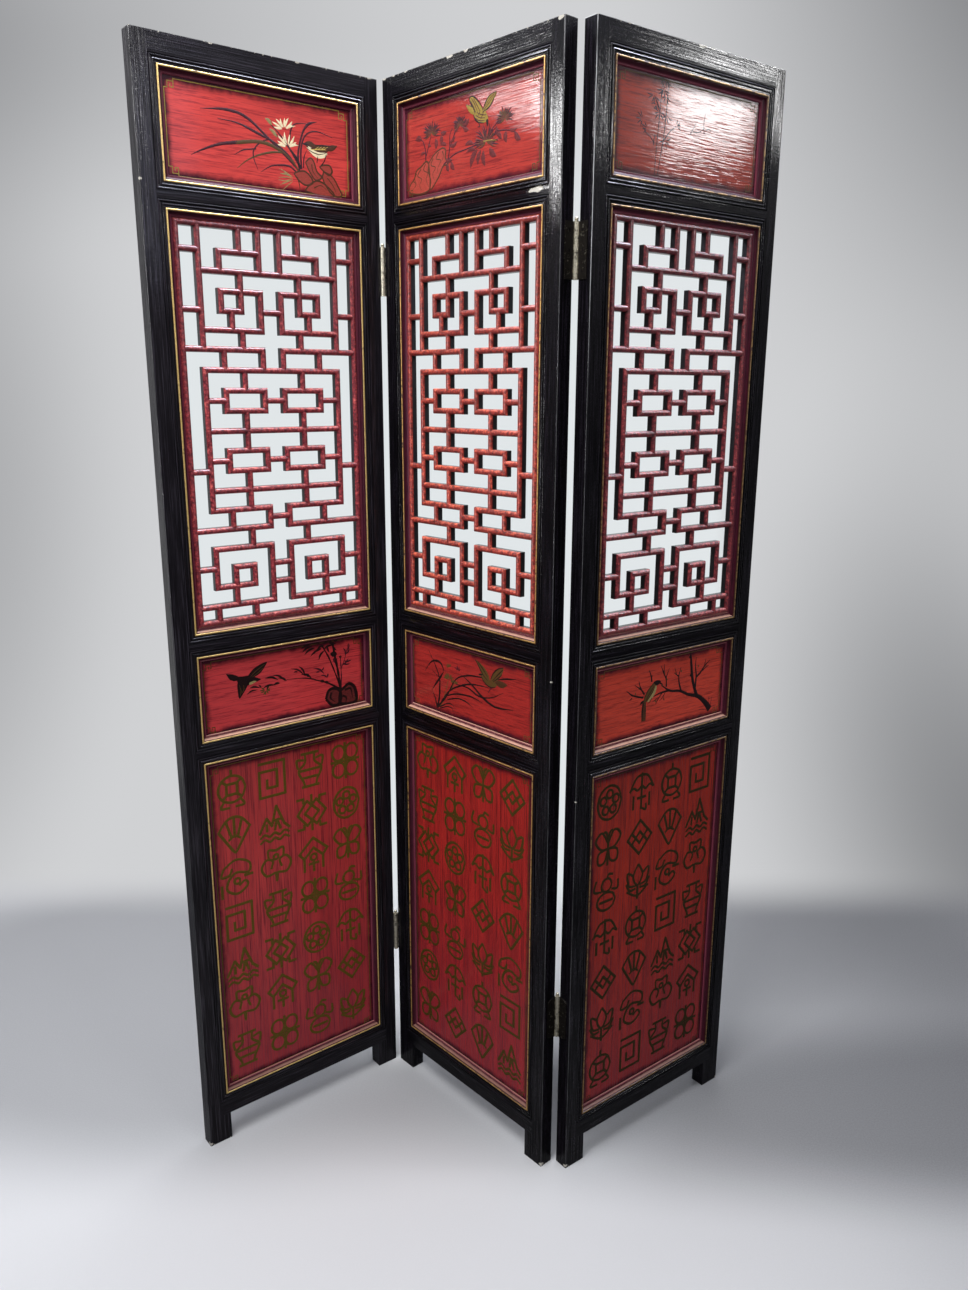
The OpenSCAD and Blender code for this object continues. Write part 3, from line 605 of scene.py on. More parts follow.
def aged_brass(name, metal_colour, dirt_colour):
    """Old cast brass: a metal under brown dirt, which hands have rubbed off the knuckles."""
    material, tree, shader = new_finish(name, Metallic=0.9)
    here = add(tree, "TexCoord").outputs["Object"]
    dirt = stretched(tree, here, (7, 7, 7), 5, 0.7)
    scratch = stretched(tree, here, (1.2, 1.2, 18), 3, 0.6)
    # the distance in plan from the nearer of the two folds
    plan = add(tree, "VectorMath", {0: here, 1: (1, 1, 0)}, operation="MULTIPLY")
    spans = [add(tree, "VectorMath", {0: plan, 1: (x * MM, y * MM, 0)}, operation="DISTANCE")
             for x, y in FOLD_AXES]
    span = add(tree, "Math", {0: spans[0], 1: spans[1]}, operation="MINIMUM")
    rubbed = add(tree, "MapRange", {"Value": span, "From Min": KNUCKLE_R * MM,
                                    "From Max": KNUCKLE_FADE * MM, "To Min": 0.26, "To Max": 0.0})
    cleaner = add(tree, "Math", {0: dirt, 1: rubbed}, operation="SUBTRACT")
    grime = add(tree, "MapRange", {"Value": cleaner, "From Min": 0.24, "From Max": 0.42})
    colour = add(tree, "Mix", {0: grime, 6: linear(metal_colour), 7: linear(dirt_colour)},
                 data_type="RGBA")
    gloss = add(tree, "MapRange", {"Value": dirt, "From Min": 0.3, "From Max": 0.7,
                                   "To Min": 0.26, "To Max": 0.6})
    rough = add(tree, "Bump", {"Height": scratch, "Strength": 0.4, "Distance": 0.1 * MM})
    wire(tree, shader, Base_Color=colour, Roughness=gloss, Normal=rough)
    return material


hinge_brass = aged_brass("aged_brass", "#C4BEAC", "#26221F")
screw_brass = aged_brass("screw_brass", "#988C70", "#242020")
for name in NODES:
    if "_fold_" in name:
        wear(name, hinge_brass)
    elif name.endswith("_screws"):
        wear(name, screw_brass)
print("hinges aged")

# %% [markdown]
# ## Surfaces from grids
# Everything new in this scene is a grid of points: rows along a line, columns across it. One
# function joins neighbouring points with quads and another puts the arrays into a mesh. The
# object stays at the origin, with its place in its mesh, as the CAD nodes have it.

# %% Grid helpers
def grid_faces(rows, columns, wrap=False):
    """Quads between neighbouring grid points; wrap joins the last column to the first."""
    r = np.arange(rows - 1)[:, None]
    c = np.arange(columns if wrap else columns - 1)[None, :]
    n = (c + 1) % columns
    return np.stack([r * columns + c, r * columns + n, (r + 1) * columns + n,
                     (r + 1) * columns + c], -1).reshape(-1, 4)


def mesh_object(name, points, faces):
    """A smooth object at the origin whose vertices are in the room's metres."""
    data = bpy.data.meshes.new(name)
    data.from_pydata(points.reshape(-1, 3).tolist(), [], [tuple(face) for face in faces])
    data.polygons.foreach_set("use_smooth", [True] * len(data.polygons))
    data.update()
    obj = bpy.data.objects.new(name, data)
    bpy.context.scene.collection.objects.link(obj)
    return obj


print("a 3 by 4 grid has", len(grid_faces(3, 4)), "quads")

# %% [markdown]
# ## Brush marks
# The pictures are painted on the lacquer with a loaded brush, so every mark stands a little
# proud and catches the light along its edge. A texture could fake that, but a mark with a real
# crown also works from the side. Two marks are enough for everything: a line, which is a
# ribbon with a rounded crown along a smooth curve, and a pool, which is a filled patch. Their
# points are counted in quarter millimetres from the board's top left corner, so that they are
# whole numbers.

# %% Lines and pools
QUARTER = 0.25
# a brush pressed to a nominal half width wets this share of it
WETTED = 0.68
LINE_CROWN = (0.12, 0.24)
POOL_CROWN = 0.03
SUNK = 0.02


def curve_through(knots, steps):
    """The smooth line through all knots, a Catmull-Rom spline: between two knots it is the
    cubic whose slope at each of them is half the step between its two neighbours."""
    p = np.asarray(knots, float)
    p = np.concatenate([2 * p[:1] - p[1:2], p, 2 * p[-1:] - p[-2:-1]])
    t = np.linspace(0, len(p) - 3, steps + 1)
    i = np.minimum(t.astype(int), len(p) - 4)
    t = (t - i)[:, None]
    a, b, c, d = p[i], p[i + 1], p[i + 2], p[i + 3]
    return 0.5 * (2 * b + (c - a) * t + (2 * a - 5 * b + 4 * c - d) * t ** 2
                  + (3 * b - a - 3 * c + d) * t ** 3)


def line(paint, knots, widths, steps=None):
    """A ribbon along the curve through the knots. Its half width follows the listed widths,
    spread evenly along it. Its crown is an eighth of the half width, between 0.12 and 0.24 mm,
    and falls off with the square of the way to its edge, just under the board's face."""
    steps = steps or 6 * (len(knots) - 1)
    path = curve_through(knots, steps)
    run = np.gradient(path, axis=0)
    run /= np.linalg.norm(run, axis=1, keepdims=True) + 1e-9
    across = np.stack([-run[:, 1], run[:, 0]], 1)
    half = WETTED * np.interp(np.linspace(0, 1, steps + 1), np.linspace(0, 1, len(widths)), widths)
    v = np.array([-1, -0.6, 0, 0.6, 1])
    spots = path[:, None] + across[:, None] * half[:, None, None] * v[None, :, None]
    crown = np.clip(half * QUARTER / 8, *LINE_CROWN)[:, None]
    return paint, spots, (crown + SUNK) * (1 - v ** 2) - SUNK, False


def pool(paint, outline, rings=5):
    """A filled patch: the closed curve through the outline, shrunk towards its middle in
    rings, with a flat crown that falls off with the sixth power of the way to the rim. The
    loop is turned so that its faces look forwards."""
    knots = np.asarray(outline, float)
    n = len(knots)
    around = np.concatenate([knots[-2:], knots, knots[:3]])
    loop = curve_through(around, 6 * (n + 4))[12:12 + 6 * n]
    x, y = loop.T
    if (x * np.roll(y, -1) - np.roll(x, -1) * y).sum() < 0:
        loop = loop[::-1]
    middle = loop.mean(0)
    r = np.linspace(0, 1, rings)[:, None]
    spots = middle + (loop - middle)[None] * r[:, :, None]
    lift = np.broadcast_to((POOL_CROWN + SUNK) * (1 - r ** 6) - SUNK, spots.shape[:2])
    return paint, spots, lift, True


print("a line of three knots has", line("", [(0, 0), (4, 1), (9, 9)], [1])[1].shape, "points")

# %% [markdown]
# From these two come the strokes that a painter repeats: a leaf that swells and tapers, a fan
# of leaves, a key line with sharp corners, a jointed cane, a washed rock and a flower of fans.

# %% Leaves, canes, rocks and flowers
def leaf(paint, x0, y0, x1, y1, width=10, bend=0.12):
    """A short mark that swells and tapers. Its middle is pushed sideways by bend times its
    length."""
    a, b = np.array([x0, y0], float), np.array([x1, y1], float)
    side = np.array([a[1] - b[1], b[0] - a[0]]) * bend
    return line(paint, [a, (a + b) / 2 + side, b], [width * 0.25, width, width * 0.9, 1], 8)


def fan(paint, x, y, radius, start, stop, count, width=8, squash=1.0, seed=1):
    """Leaves that spread from one point between two angles, counted from the right
    anticlockwise, with lengths that vary by a fifth."""
    rng = np.random.default_rng(seed)
    angles = np.radians(np.linspace(start, stop, count) + rng.uniform(-5, 5, count))
    reach = radius * rng.uniform(0.8, 1.05, count)
    return [leaf(paint, x + 0.2 * r * math.cos(a), y - 0.2 * r * squash * math.sin(a),
                 x + r * math.cos(a), y - r * squash * math.sin(a), width,
                 float(rng.uniform(-0.12, 0.12))) for a, r in zip(angles, reach)]


def key_line(paint, corners, width):
    """A line with sharp corners: one straight ribbon for each leg, a little longer at both
    ends so that the legs meet."""
    marks = []
    corners = np.asarray(corners, float)
    for a, b in zip(corners[:-1], corners[1:]):
        reach = (b - a) / (np.linalg.norm(b - a) + 1e-9) * width * 0.42
        marks.append(line(paint, [a - reach, b + reach], [width, width], 2))
    return marks


def cane(paint, knots, width):
    """A bamboo cane: a straight piece between every two knots, thinner in its middle, so that
    the joints look swollen."""
    return [line(paint, [a, ((a[0] + b[0]) / 2, (a[1] + b[1]) / 2), b],
                 [width * 1.3, width * 0.8, width * 1.3], 4) for a, b in zip(knots[:-1], knots[1:])]


def rock(outlines, seams, wash="rock", edge="umber", width=6.5):
    """Washed lobes, each with a brushed rim, and the seams between them."""
    marks = [pool(wash, o) for o in outlines]
    marks += [line(edge, list(o) + [o[0]], [width, width * 1.4, width], 6 * len(o)) for o in outlines]
    return marks + [line(edge, s, [width, width * 0.8, 2]) for s in seams]


def chrysanthemum(x, y, r, seed):
    """Four fans over each other, each smaller, flatter and a little lower than the one before."""
    return (fan("plum", x, y, 1.05 * r, 200, -20, 19, 7, 0.82, seed)
            + fan("umber", x, y + 3, 0.84 * r, 205, -25, 19, 6, 0.74, seed + 9)
            + fan("russet", x, y + 6, 0.64 * r, 210, -30, 15, 6, 0.62, seed + 13)
            + fan("olive", x, y + 8, 0.46 * r, 215, -35, 11, 5, 0.5, seed + 17))


print("a fan of nine leaves has", len(fan("", 0, 0, 50, 0, 180, 9)), "marks")

# %% [markdown]
# ## Paints
# The marks are lacquer paint ground with pigment: ink black and purple brown for leaves,
# olive and sage, a cream for petals and gold bronze powder. Each is streaked by the brush and
# thin at places, so a little of the red shows through, which the second colour stands for.

# %% Paints
def brush_paint(name, body, thin, metallic=0.0):
    """Lacquer paint of one pigment: streaks 5 mm wide where it covers less."""
    material, tree, shader = new_finish(name, Specular_IOR_Level=0.15)
    here = add(tree, "TexCoord").outputs["Object"]
    streak = stretched(tree, here, (5, 5, 1.2), 4, 0.65)
    cover = add(tree, "MapRange", {"Value": streak, "From Min": 0.46, "From Max": 0.72})
    colour = add(tree, "Mix", {0: cover, 6: linear(body), 7: linear(thin)}, data_type="RGBA")
    gloss = add(tree, "MapRange", {"Value": streak, "To Min": 0.37, "To Max": 0.6})
    drag = add(tree, "Bump", {"Height": streak, "Strength": 0.5, "Distance": 0.08 * MM})
    wire(tree, shader, Base_Color=colour, Roughness=gloss, Normal=drag)
    if metallic:
        metal = add(tree, "MapRange", {"Value": cover, "To Min": metallic, "To Max": metallic * 0.3})
        wire(tree, shader, Metallic=metal)
    return material


PAINTS = {
    "plum": brush_paint("plum_brown_paint", "#2C0C16", "#561622"),
    "ink": brush_paint("ink_black_paint", "#130809", "#2A0C0E"),
    "grey": brush_paint("grey_ink_paint", "#1E1418", "#3A2224"),
    "olive": brush_paint("olive_paint", "#4A3A18", "#5E2A1A"),
    "sage": brush_paint("sage_paint", "#8C8052", "#6E4A32"),
    "cream": brush_paint("cream_paint", "#E2D9B4", "#C9A788"),
    "gold": brush_paint("gold_bronze_paint", "#B9A254", "#7A5A2A", metallic=0.4),
    "old_gold": brush_paint("old_gold_paint", "#564614", "#4C3210", metallic=0.1),
    "bronze": brush_paint("bronze_paint", "#43340C", "#3A240C", metallic=0.08),
    "dark_bronze": brush_paint("dark_bronze_paint", "#2E2409", "#2C1A0A", metallic=0.05),
    "khaki": brush_paint("khaki_paint", "#84702E", "#6A4E24", metallic=0.15),
    "russet": brush_paint("russet_paint", "#4C1C1C", "#742624"),
    "rock": brush_paint("rock_wash", "#8A342A", "#9E4036"),
    "umber": brush_paint("umber_paint", "#3E2612", "#5A2C1E"),
}
print(len(PAINTS), "paints mixed")

# %% [markdown]
# ## Pictures on the top boards
# These are stock subjects of such screens: an orchid with a small bird on a rock, chrysanthemums
# with a bird, and bamboo. Marks that come later in a list lie over the earlier ones.

# %% Orchid and bird, left panel
left_top = [
    # the orchid's long leaves
    line("plum", [(905, 450), (820, 380), (700, 290), (560, 195), (430, 172), (265, 190)],
         [8, 10, 10, 13, 13, 2]),
    line("plum", [(905, 455), (840, 375), (740, 310), (620, 270), (500, 235), (370, 228)],
         [8, 10, 9, 13, 7, 2]),
    line("plum", [(800, 350), (720, 300), (650, 320), (600, 370), (597, 420), (622, 482)],
         [4, 6, 6, 7, 6, 2]),
    line("plum", [(615, 362), (530, 380), (468, 415)], [6, 6, 2]),
    line("olive", [(900, 450), (830, 372), (760, 362), (660, 385), (560, 430), (482, 488)],
         [8, 9, 10, 9, 6, 2]),
    line("plum", [(885, 458), (830, 432), (720, 445), (638, 492)], [8, 9, 6, 2]),
    line("olive", [(905, 455), (850, 390), (760, 340), (640, 320), (480, 345)], [9, 14, 16, 16, 16]),
    line("plum", [(490, 343), (400, 362), (330, 385), (250, 420), (190, 452)], [16, 13, 11, 7, 2]),
    line("plum", [(910, 450), (905, 350), (940, 230), (985, 170), (1045, 150)], [9, 10, 9, 13, 2]),
    line("plum", [(925, 440), (925, 330), (960, 240), (1040, 205), (1155, 225)], [9, 9, 7, 6, 2]),
    line("plum", [(845, 300), (860, 220), (900, 180), (1010, 168)], [7, 8, 6, 2]),
    line("plum", [(940, 430), (945, 370), (966, 325)], [7, 6, 2]),
    line("ink", [(915, 440), (895, 385), (850, 335)], [14, 14, 8]),
    # its flower stalks, flowers and buds
    line("plum", [(900, 400), (830, 310), (760, 240), (705, 198)], [8, 7, 6, 4]),
    line("plum", [(900, 410), (850, 340), (800, 290), (745, 255)], [7, 6, 5, 4]),
    *fan("sage", 880, 500, 120, 150, 215, 9, 4, 1.0, 4),
    *fan("cream", 812, 226, 86, 172, 28, 8, 10, 0.85, 5),
    *fan("cream", 832, 326, 94, 176, 16, 9, 10, 0.9, 6),
    leaf("sage", 728, 214, 684, 180, 17), leaf("cream", 712, 200, 688, 184, 7),
    leaf("sage", 760, 278, 708, 236, 17), leaf("cream", 742, 260, 714, 242, 7),
    *rock([[(955, 395), (990, 366), (1015, 385), (1035, 440), (1070, 470), (1025, 492), (985, 450)],
           [(870, 470), (905, 455), (950, 450), (992, 480), (1002, 512), (950, 530), (900, 505)],
           [(1055, 410), (1085, 396), (1130, 395), (1147, 428), (1122, 452), (1085, 432)],
           [(1085, 432), (1150, 460), (1190, 515), (1215, 560), (1180, 575), (1125, 550), (1078, 480)],
           [(945, 562), (985, 520), (1040, 495), (1100, 515), (1160, 572), (1050, 580)]],
          [[(893, 490), (905, 530), (910, 578)], [(1000, 400), (1005, 440), (1040, 480)],
           [(1110, 470), (1150, 510), (1175, 555)], [(1010, 540), (1060, 520), (1110, 545)]]),
    # the bird's legs, breast, back, tail, beak, feathers and eye
    line("ink", [(1045, 350), (1038, 388)], [4, 5]),
    line("ink", [(1108, 330), (1092, 372), (1062, 408)], [4, 5, 5]),
    pool("cream",
         [(970, 306), (985, 326), (1012, 347), (1050, 360), (1095, 350), (1114, 322), (1060, 322)]),
    pool("umber", [(952, 292), (968, 272), (1000, 268), (1032, 282),
                   (1085, 276), (1140, 280), (1112, 318), (1050, 332), (1000, 318)]),
    leaf("umber", 1100, 300, 1192, 268, 26, 0.05), leaf("ink", 976, 288, 934, 290, 10, 0.0),
    *[leaf("gold", x, 316 - 0.12 * (x - 1000), x + 66, 290 - 0.12 * (x - 1000), 5, 0.1)
      for x in (990, 1012, 1034, 1056, 1078)],
    *[line("ink", k, [3, 6, 2]) for k in (
        [(968, 312), (1010, 330), (1060, 336), (1112, 320)], [(1030, 284), (1090, 282), (1180, 272)])],
    leaf("cream", 978, 300, 1002, 306, 8), leaf("ink", 972, 291, 982, 292, 5, 0),
]
print(len(left_top), "marks")

# %% Chrysanthemums and bird, middle panel
middle_top = [
    *rock([[(70, 535), (85, 500), (125, 468), (150, 425), (200, 405), (245, 382),
            (275, 402), (268, 440), (290, 500), (270, 555), (180, 566), (90, 552)],
           [(275, 395), (330, 352), (405, 328), (440, 345), (436, 385), (462, 428),
            (415, 432), (370, 490), (290, 552), (285, 480)]],
          [[(195, 420), (160, 455), (200, 480), (180, 515), (205, 550)],
           [(240, 395), (222, 430), (262, 452), (246, 490), (272, 535)],
           [(318, 372), (296, 410), (340, 430), (312, 465), (330, 505)],
           [(372, 345), (348, 380), (392, 395), (368, 430), (352, 470)],
           [(118, 482), (142, 505), (112, 530)], [(408, 345), (418, 375), (396, 410)],
           [(150, 440), (128, 470), (150, 500)]]),
    # stalks and leaves
    line("plum", [(245, 375), (240, 310), (218, 262), (195, 248)], [8, 7, 5, 4]),
    line("plum", [(250, 350), (272, 300), (300, 240)], [7, 6, 5]),
    line("plum", [(455, 430), (478, 340), (482, 265), (505, 232)], [8, 7, 5, 4]),
    line("plum", [(485, 330), (530, 260), (575, 225)], [6, 7, 6]),
    line("plum", [(420, 425), (520, 382), (640, 368), (790, 352)], [8, 6, 6, 7]),
    line("plum", [(800, 350), (870, 290), (945, 250)], [7, 6, 5]),
    line("plum", [(890, 310), (1000, 322), (1070, 348), (1105, 388)], [7, 6, 6, 8]),
    *[leaf("russet", *k) for k in (
        (208, 250, 140, 242, 26), (395, 240, 450, 240, 22), (345, 322, 342, 262, 26),
        (395, 302, 395, 254, 26), (448, 318, 385, 308, 18), (238, 332, 192, 340, 16),
        (268, 285, 300, 300, 14), (480, 330, 552, 312, 20), (482, 305, 535, 278, 16),
        (455, 425, 470, 472, 24), (492, 420, 525, 470, 24), (440, 400, 505, 408, 20),
        (700, 350, 622, 344, 22), (720, 385, 632, 388, 20), (735, 385, 672, 482, 30),
        (765, 395, 740, 472, 26), (790, 400, 806, 490, 26), (845, 395, 905, 448, 30),
        (905, 285, 925, 350, 16), (925, 318, 950, 362, 22), (985, 325, 990, 388, 26),
        (1010, 322, 1082, 322, 18), (1060, 345, 1110, 392, 26), (600, 232, 662, 202, 26),
        (605, 240, 660, 265, 22), (560, 245, 520, 262, 16))],
    # the flowers
    *chrysanthemum(305, 225, 88, 1),
    *chrysanthemum(578, 222, 66, 2),
    *chrysanthemum(815, 355, 118, 3),
    *chrysanthemum(975, 252, 74, 4),
    *fan("olive", 965, 250, 60, 160, 10, 9, 5, 0.85, 31),
    # a twig, then the bird: tail, body, two wings, their feathers, beak and foot
    line("khaki", [(790, 350), (850, 352), (905, 362)], [5, 4, 2]),
    leaf("khaki", 712, 190, 634, 126, 28, 0.05), leaf("olive", 700, 176, 640, 124, 8, 0.02),
    pool("khaki", [(745, 168), (790, 178), (822, 208), (832, 242),
                   (795, 247), (745, 236), (712, 210), (705, 182)]),
    pool("khaki", [(664, 88), (700, 92), (745, 130), (782, 172),
                   (760, 192), (718, 186), (700, 150), (674, 112)]),
    pool("khaki", [(902, 100), (890, 126), (850, 165), (802, 194),
                   (780, 182), (800, 152), (840, 114), (876, 100)]),
    *[line("ink", k, [4, 7, 3]) for k in (
        [(664, 88), (672, 118), (700, 155), (716, 190)], [(664, 88), (700, 90), (748, 128), (785, 172)],
        [(780, 190), (850, 165), (902, 100)], [(782, 180), (800, 152), (840, 112), (902, 98)],
        [(702, 182), (712, 212), (745, 238), (795, 250)], [(634, 126), (676, 140), (716, 176)])],
    *[line("umber", k, [4, 6, 3]) for k in (
        [(682, 96), (712, 134), (738, 182)], [(702, 102), (732, 142), (758, 178)],
        [(676, 112), (700, 146), (724, 184)], [(794, 178), (840, 148), (884, 112)],
        [(806, 160), (850, 124), (892, 104)], [(720, 196), (760, 216), (806, 224)],
        [(716, 210), (752, 230), (800, 238)], [(730, 182), (770, 200), (816, 210)],
        [(738, 206), (752, 190), (764, 176)], [(768, 222), (782, 204), (792, 186)])],
    pool("ink", [(812, 236), (830, 236), (834, 262), (822, 272)]),
    line("ink", [(745, 238), (758, 262), (740, 262)], [4, 5, 3]),
]
print(len(middle_top), "marks")

# %% Bamboo, right panel
right_top = [
    # two tall canes, a short one and their twigs
    *cane("grey", [(376, 566), (378, 505), (382, 440), (387, 370),
                   (394, 300), (400, 235), (406, 150), (412, 55)], 3.4),
    *cane("grey", [(400, 566), (412, 500), (424, 440), (436, 375),
                   (446, 310), (454, 235), (458, 150), (462, 60)], 3.4),
    *cane("grey", [(356, 412), (360, 385), (366, 355)], 4),
    line("grey", [(362, 400), (330, 372), (282, 345), (240, 290)], [5, 4, 3, 2]),
    line("grey", [(440, 378), (490, 322), (545, 285)], [5, 4, 2]),
    line("grey", [(402, 236), (350, 150)], [4, 2]), line("grey", [(408, 130), (450, 60)], [4, 2]),
    # bunches of leaves: place, length, first and last angle, and number
    *[m for x, y, r, a, b, n in (
        (438, 55, 62, 160, 330, 7), (352, 148, 66, 180, 330, 6), (425, 105, 62, 195, 340, 6),
        (398, 232, 58, 160, 340, 6), (262, 285, 62, 110, 250, 5), (450, 375, 54, 200, 380, 5),
        (462, 245, 48, 195, 335, 4), (545, 285, 44, -30, 80, 4), (450, 140, 50, 205, 325, 4),
        (300, 330, 44, 120, 230, 4), (372, 190, 46, 190, 320, 4))
      for m in fan("grey", x, y, r, a, b, n, 5, 0.9, x)],
    # sprigs to the right of the bamboo
    *[line("grey", k, [4, 3, 2]) for k in (
        [(662, 318), (690, 280), (722, 232)], [(790, 295), (782, 240), (792, 182)],
        [(690, 296), (740, 290), (795, 262)], [(800, 272), (830, 262), (850, 268)])],
]
print(len(right_top), "marks")

# %% [markdown]
# ## Pictures on the waist boards
# The narrow boards have a bird flying to bamboo, an orchid with a bird, and a bird on a plum
# branch, mostly in ink black with olive touches.

# %% Bamboo and flying bird, left panel
left_waist = [
    *rock([[(962, 482), (985, 425), (1030, 412), (1078, 438), (1085, 500), (1060, 540), (1010, 535)],
           [(1080, 445), (1120, 418), (1160, 400), (1200, 430),
            (1216, 490), (1208, 545), (1120, 548), (1075, 520)]],
          [[(1010, 440), (1000, 480), (1040, 520)], [(1120, 440), (1170, 440), (1185, 520)],
           [(1100, 480), (1130, 500), (1125, 545)]],
          "russet", "ink", 15),
    # a long twig and the canes
    line("ink", [(1080, 425), (980, 362), (900, 330), (840, 305), (740, 286), (655, 280)],
         [12, 9, 7, 7, 4, 3]),
    *cane("ink", [(1085, 432), (1080, 370), (1070, 300), (1058, 230), (1044, 160), (1030, 70)], 13),
    *cane("ink", [(1082, 425), (1060, 340), (1030, 260), (995, 170), (945, 80)], 8),
    *cane("plum", [(1092, 420), (1096, 330), (1094, 250), (1092, 182)], 6),
    line("plum", [(1094, 280), (1130, 200), (1160, 98)], [5, 4, 3]),
    pool("ink", [(1012, 145), (1040, 138), (1062, 150), (1058, 172), (1030, 176), (1014, 162)]),
    pool("plum", [(1032, 190), (1056, 186), (1066, 208), (1050, 228), (1034, 214)]),
    pool("ink", [(1080, 182), (1096, 176), (1102, 190), (1088, 196)]),
    # leaves
    *[leaf("ink", *k) for k in (
        (855, 58, 778, 80, 13), (868, 74, 784, 106, 13), (885, 88, 802, 126, 13), (930, 66, 866, 50, 12),
        (940, 96, 876, 132, 12), (962, 118, 914, 182, 13), (950, 62, 1004, 50, 12),
        (1000, 66, 1064, 78, 13), (1022, 88, 958, 112, 13), (1030, 66, 968, 54, 12),
        (905, 60, 838, 50, 11), (935, 106, 848, 146, 12), (990, 84, 1004, 140, 12),
        (1034, 92, 1062, 132, 12), (960, 80, 905, 100, 12), (1040, 60, 1080, 52, 10),
        (955, 350, 915, 340, 16), (990, 368, 948, 352, 16), (800, 278, 752, 198, 11),
        (796, 275, 690, 206, 9), (850, 302, 770, 262, 14), (822, 292, 812, 262, 10),
        (745, 240, 712, 238, 9), (655, 288, 588, 256, 12), (640, 284, 552, 228, 10),
        (590, 268, 488, 242, 12), (602, 296, 552, 302, 14), (564, 302, 468, 312, 11),
        (448, 302, 372, 290, 11), (432, 312, 350, 332, 9), (460, 306, 440, 280, 9),
        (520, 300, 500, 330, 9))],
    *[leaf("plum", *k) for k in (
        (955, 290, 868, 234, 11), (932, 262, 955, 238, 9), (975, 320, 985, 290, 10),
        (980, 325, 925, 295, 9), (920, 270, 888, 272, 9), (1134, 184, 1118, 122, 10),
        (1142, 172, 1168, 138, 10), (1150, 150, 1166, 92, 9), (1108, 236, 1172, 250, 10),
        (1120, 222, 1186, 222, 10), (1102, 252, 1160, 206, 9))],
    *fan("olive", 492, 325, 44, 40, -220, 9, 8, 0.9, 7),
    # the flying bird
    leaf("ink", 310, 212, 210, 162, 32, -0.08),
    pool("ink", [(365, 206), (402, 165), (450, 140), (512, 125),
                 (496, 156), (460, 196), (420, 216), (382, 226)]),
    pool("ink", [(288, 240), (330, 245), (366, 250), (350, 286), (320, 326), (296, 350), (287, 310)]),
    pool("ink", [(285, 197), (330, 198), (370, 200), (420, 220), (458, 240),
                 (430, 254), (390, 262), (345, 272), (305, 262), (288, 232)]),
    pool("sage", [(364, 250), (408, 238), (434, 248), (400, 262), (372, 266)], 4),
    leaf("ink", 430, 240, 462, 243, 9, 0),
    *[line("olive", k, [2, 4, 2]) for k in (
        [(385, 210), (430, 175), (495, 140)], [(400, 215), (445, 190), (480, 165)],
        [(300, 255), (310, 300), (300, 335)], [(330, 258), (332, 290), (315, 315)])],
]
print(len(left_waist), "marks")

# %% Orchid and bird, middle panel
middle_waist = [
    # leaves and stems
    *[line("ink", k, w) for k, w in (
        ([(320, 532), (345, 420), (340, 300), (290, 210), (222, 120)], [14, 10, 8, 7, 2]),
        ([(258, 412), (300, 360), (350, 300), (388, 252)], [2, 10, 13, 4]),
        ([(396, 245), (362, 196), (310, 185), (250, 206), (178, 288)], [4, 11, 13, 8, 2]),
        ([(318, 532), (296, 470), (262, 416)], [12, 9, 2]),
        ([(345, 425), (345, 370), (350, 320)], [14, 12, 6]),
        ([(330, 520), (430, 410), (520, 280), (640, 225), (790, 205)], [14, 10, 7, 10, 7]),
        ([(955, 186), (1040, 163), (1130, 147)], [6, 10, 2]),
        ([(340, 512), (450, 380), (580, 310), (700, 275), (852, 264)], [12, 9, 10, 9, 3]),
        ([(590, 236), (680, 275), (800, 345), (900, 380), (980, 382), (1105, 364)],
         [3, 9, 14, 12, 10, 2]),
        ([(520, 312), (650, 312), (760, 345), (880, 330), (1005, 268)], [4, 9, 10, 6, 2]),
        ([(400, 430), (520, 385), (680, 368), (805, 386)], [6, 9, 9, 2]),
        ([(430, 448), (530, 415), (620, 415), (705, 442)], [6, 8, 8, 2]),
        ([(345, 520), (420, 480), (470, 470), (516, 494)], [8, 7, 6, 2]),
        ([(350, 530), (420, 502), (470, 498), (500, 522)], [7, 6, 5, 2]),
        ([(340, 300), (300, 285), (262, 262)], [5, 4, 2]))],
    line("olive", [(345, 515), (400, 420), (430, 330), (445, 285)], [6, 5, 4, 3]),
    line("olive", [(350, 510), (440, 400), (500, 320), (512, 300)], [6, 5, 4, 3]),
    *fan("olive", 445, 295, 62, 30, 175, 9, 9, 0.9, 8),
    *fan("olive", 500, 312, 46, 10, 160, 6, 9, 0.8, 9),
    *fan("plum", 545, 215, 44, 40, 150, 5, 6, 1.0, 10),
    *fan("olive", 450, 210, 40, 60, 160, 5, 7, 1.0, 11),
    *[line("plum", k, [3, 4]) for k in ([(880, 256), (858, 300)], [(895, 252), (870, 282)])],
    # the bird: tail, body and two wings, then their feathers and the beak
    leaf("umber", 925, 208, 1045, 204, 36, 0.06),
    pool("olive", [(780, 186), (802, 172), (845, 188), (890, 210),
                   (945, 212), (932, 240), (900, 256), (850, 252), (808, 228)]),
    pool("olive", [(724, 92), (780, 110), (830, 140), (866, 185),
                   (862, 214), (822, 202), (790, 172), (758, 130)]),
    pool("olive", [(1002, 95), (992, 140), (962, 180), (930, 206),
                   (890, 216), (880, 195), (905, 156), (950, 116)]),
    *[line("ink", k, [4, 7, 3]) for k in (
        [(724, 92), (760, 132), (800, 180), (850, 215)], [(750, 100), (800, 140), (850, 190)],
        [(1002, 95), (950, 114), (905, 154), (880, 200)], [(998, 110), (955, 150), (900, 205)],
        [(990, 145), (955, 175), (905, 212)], [(784, 200), (820, 235), (870, 255), (930, 245)],
        [(940, 205), (990, 200), (1035, 206)])],
    leaf("ink", 800, 184, 756, 190, 10, 0),
]
print(len(middle_waist), "marks")

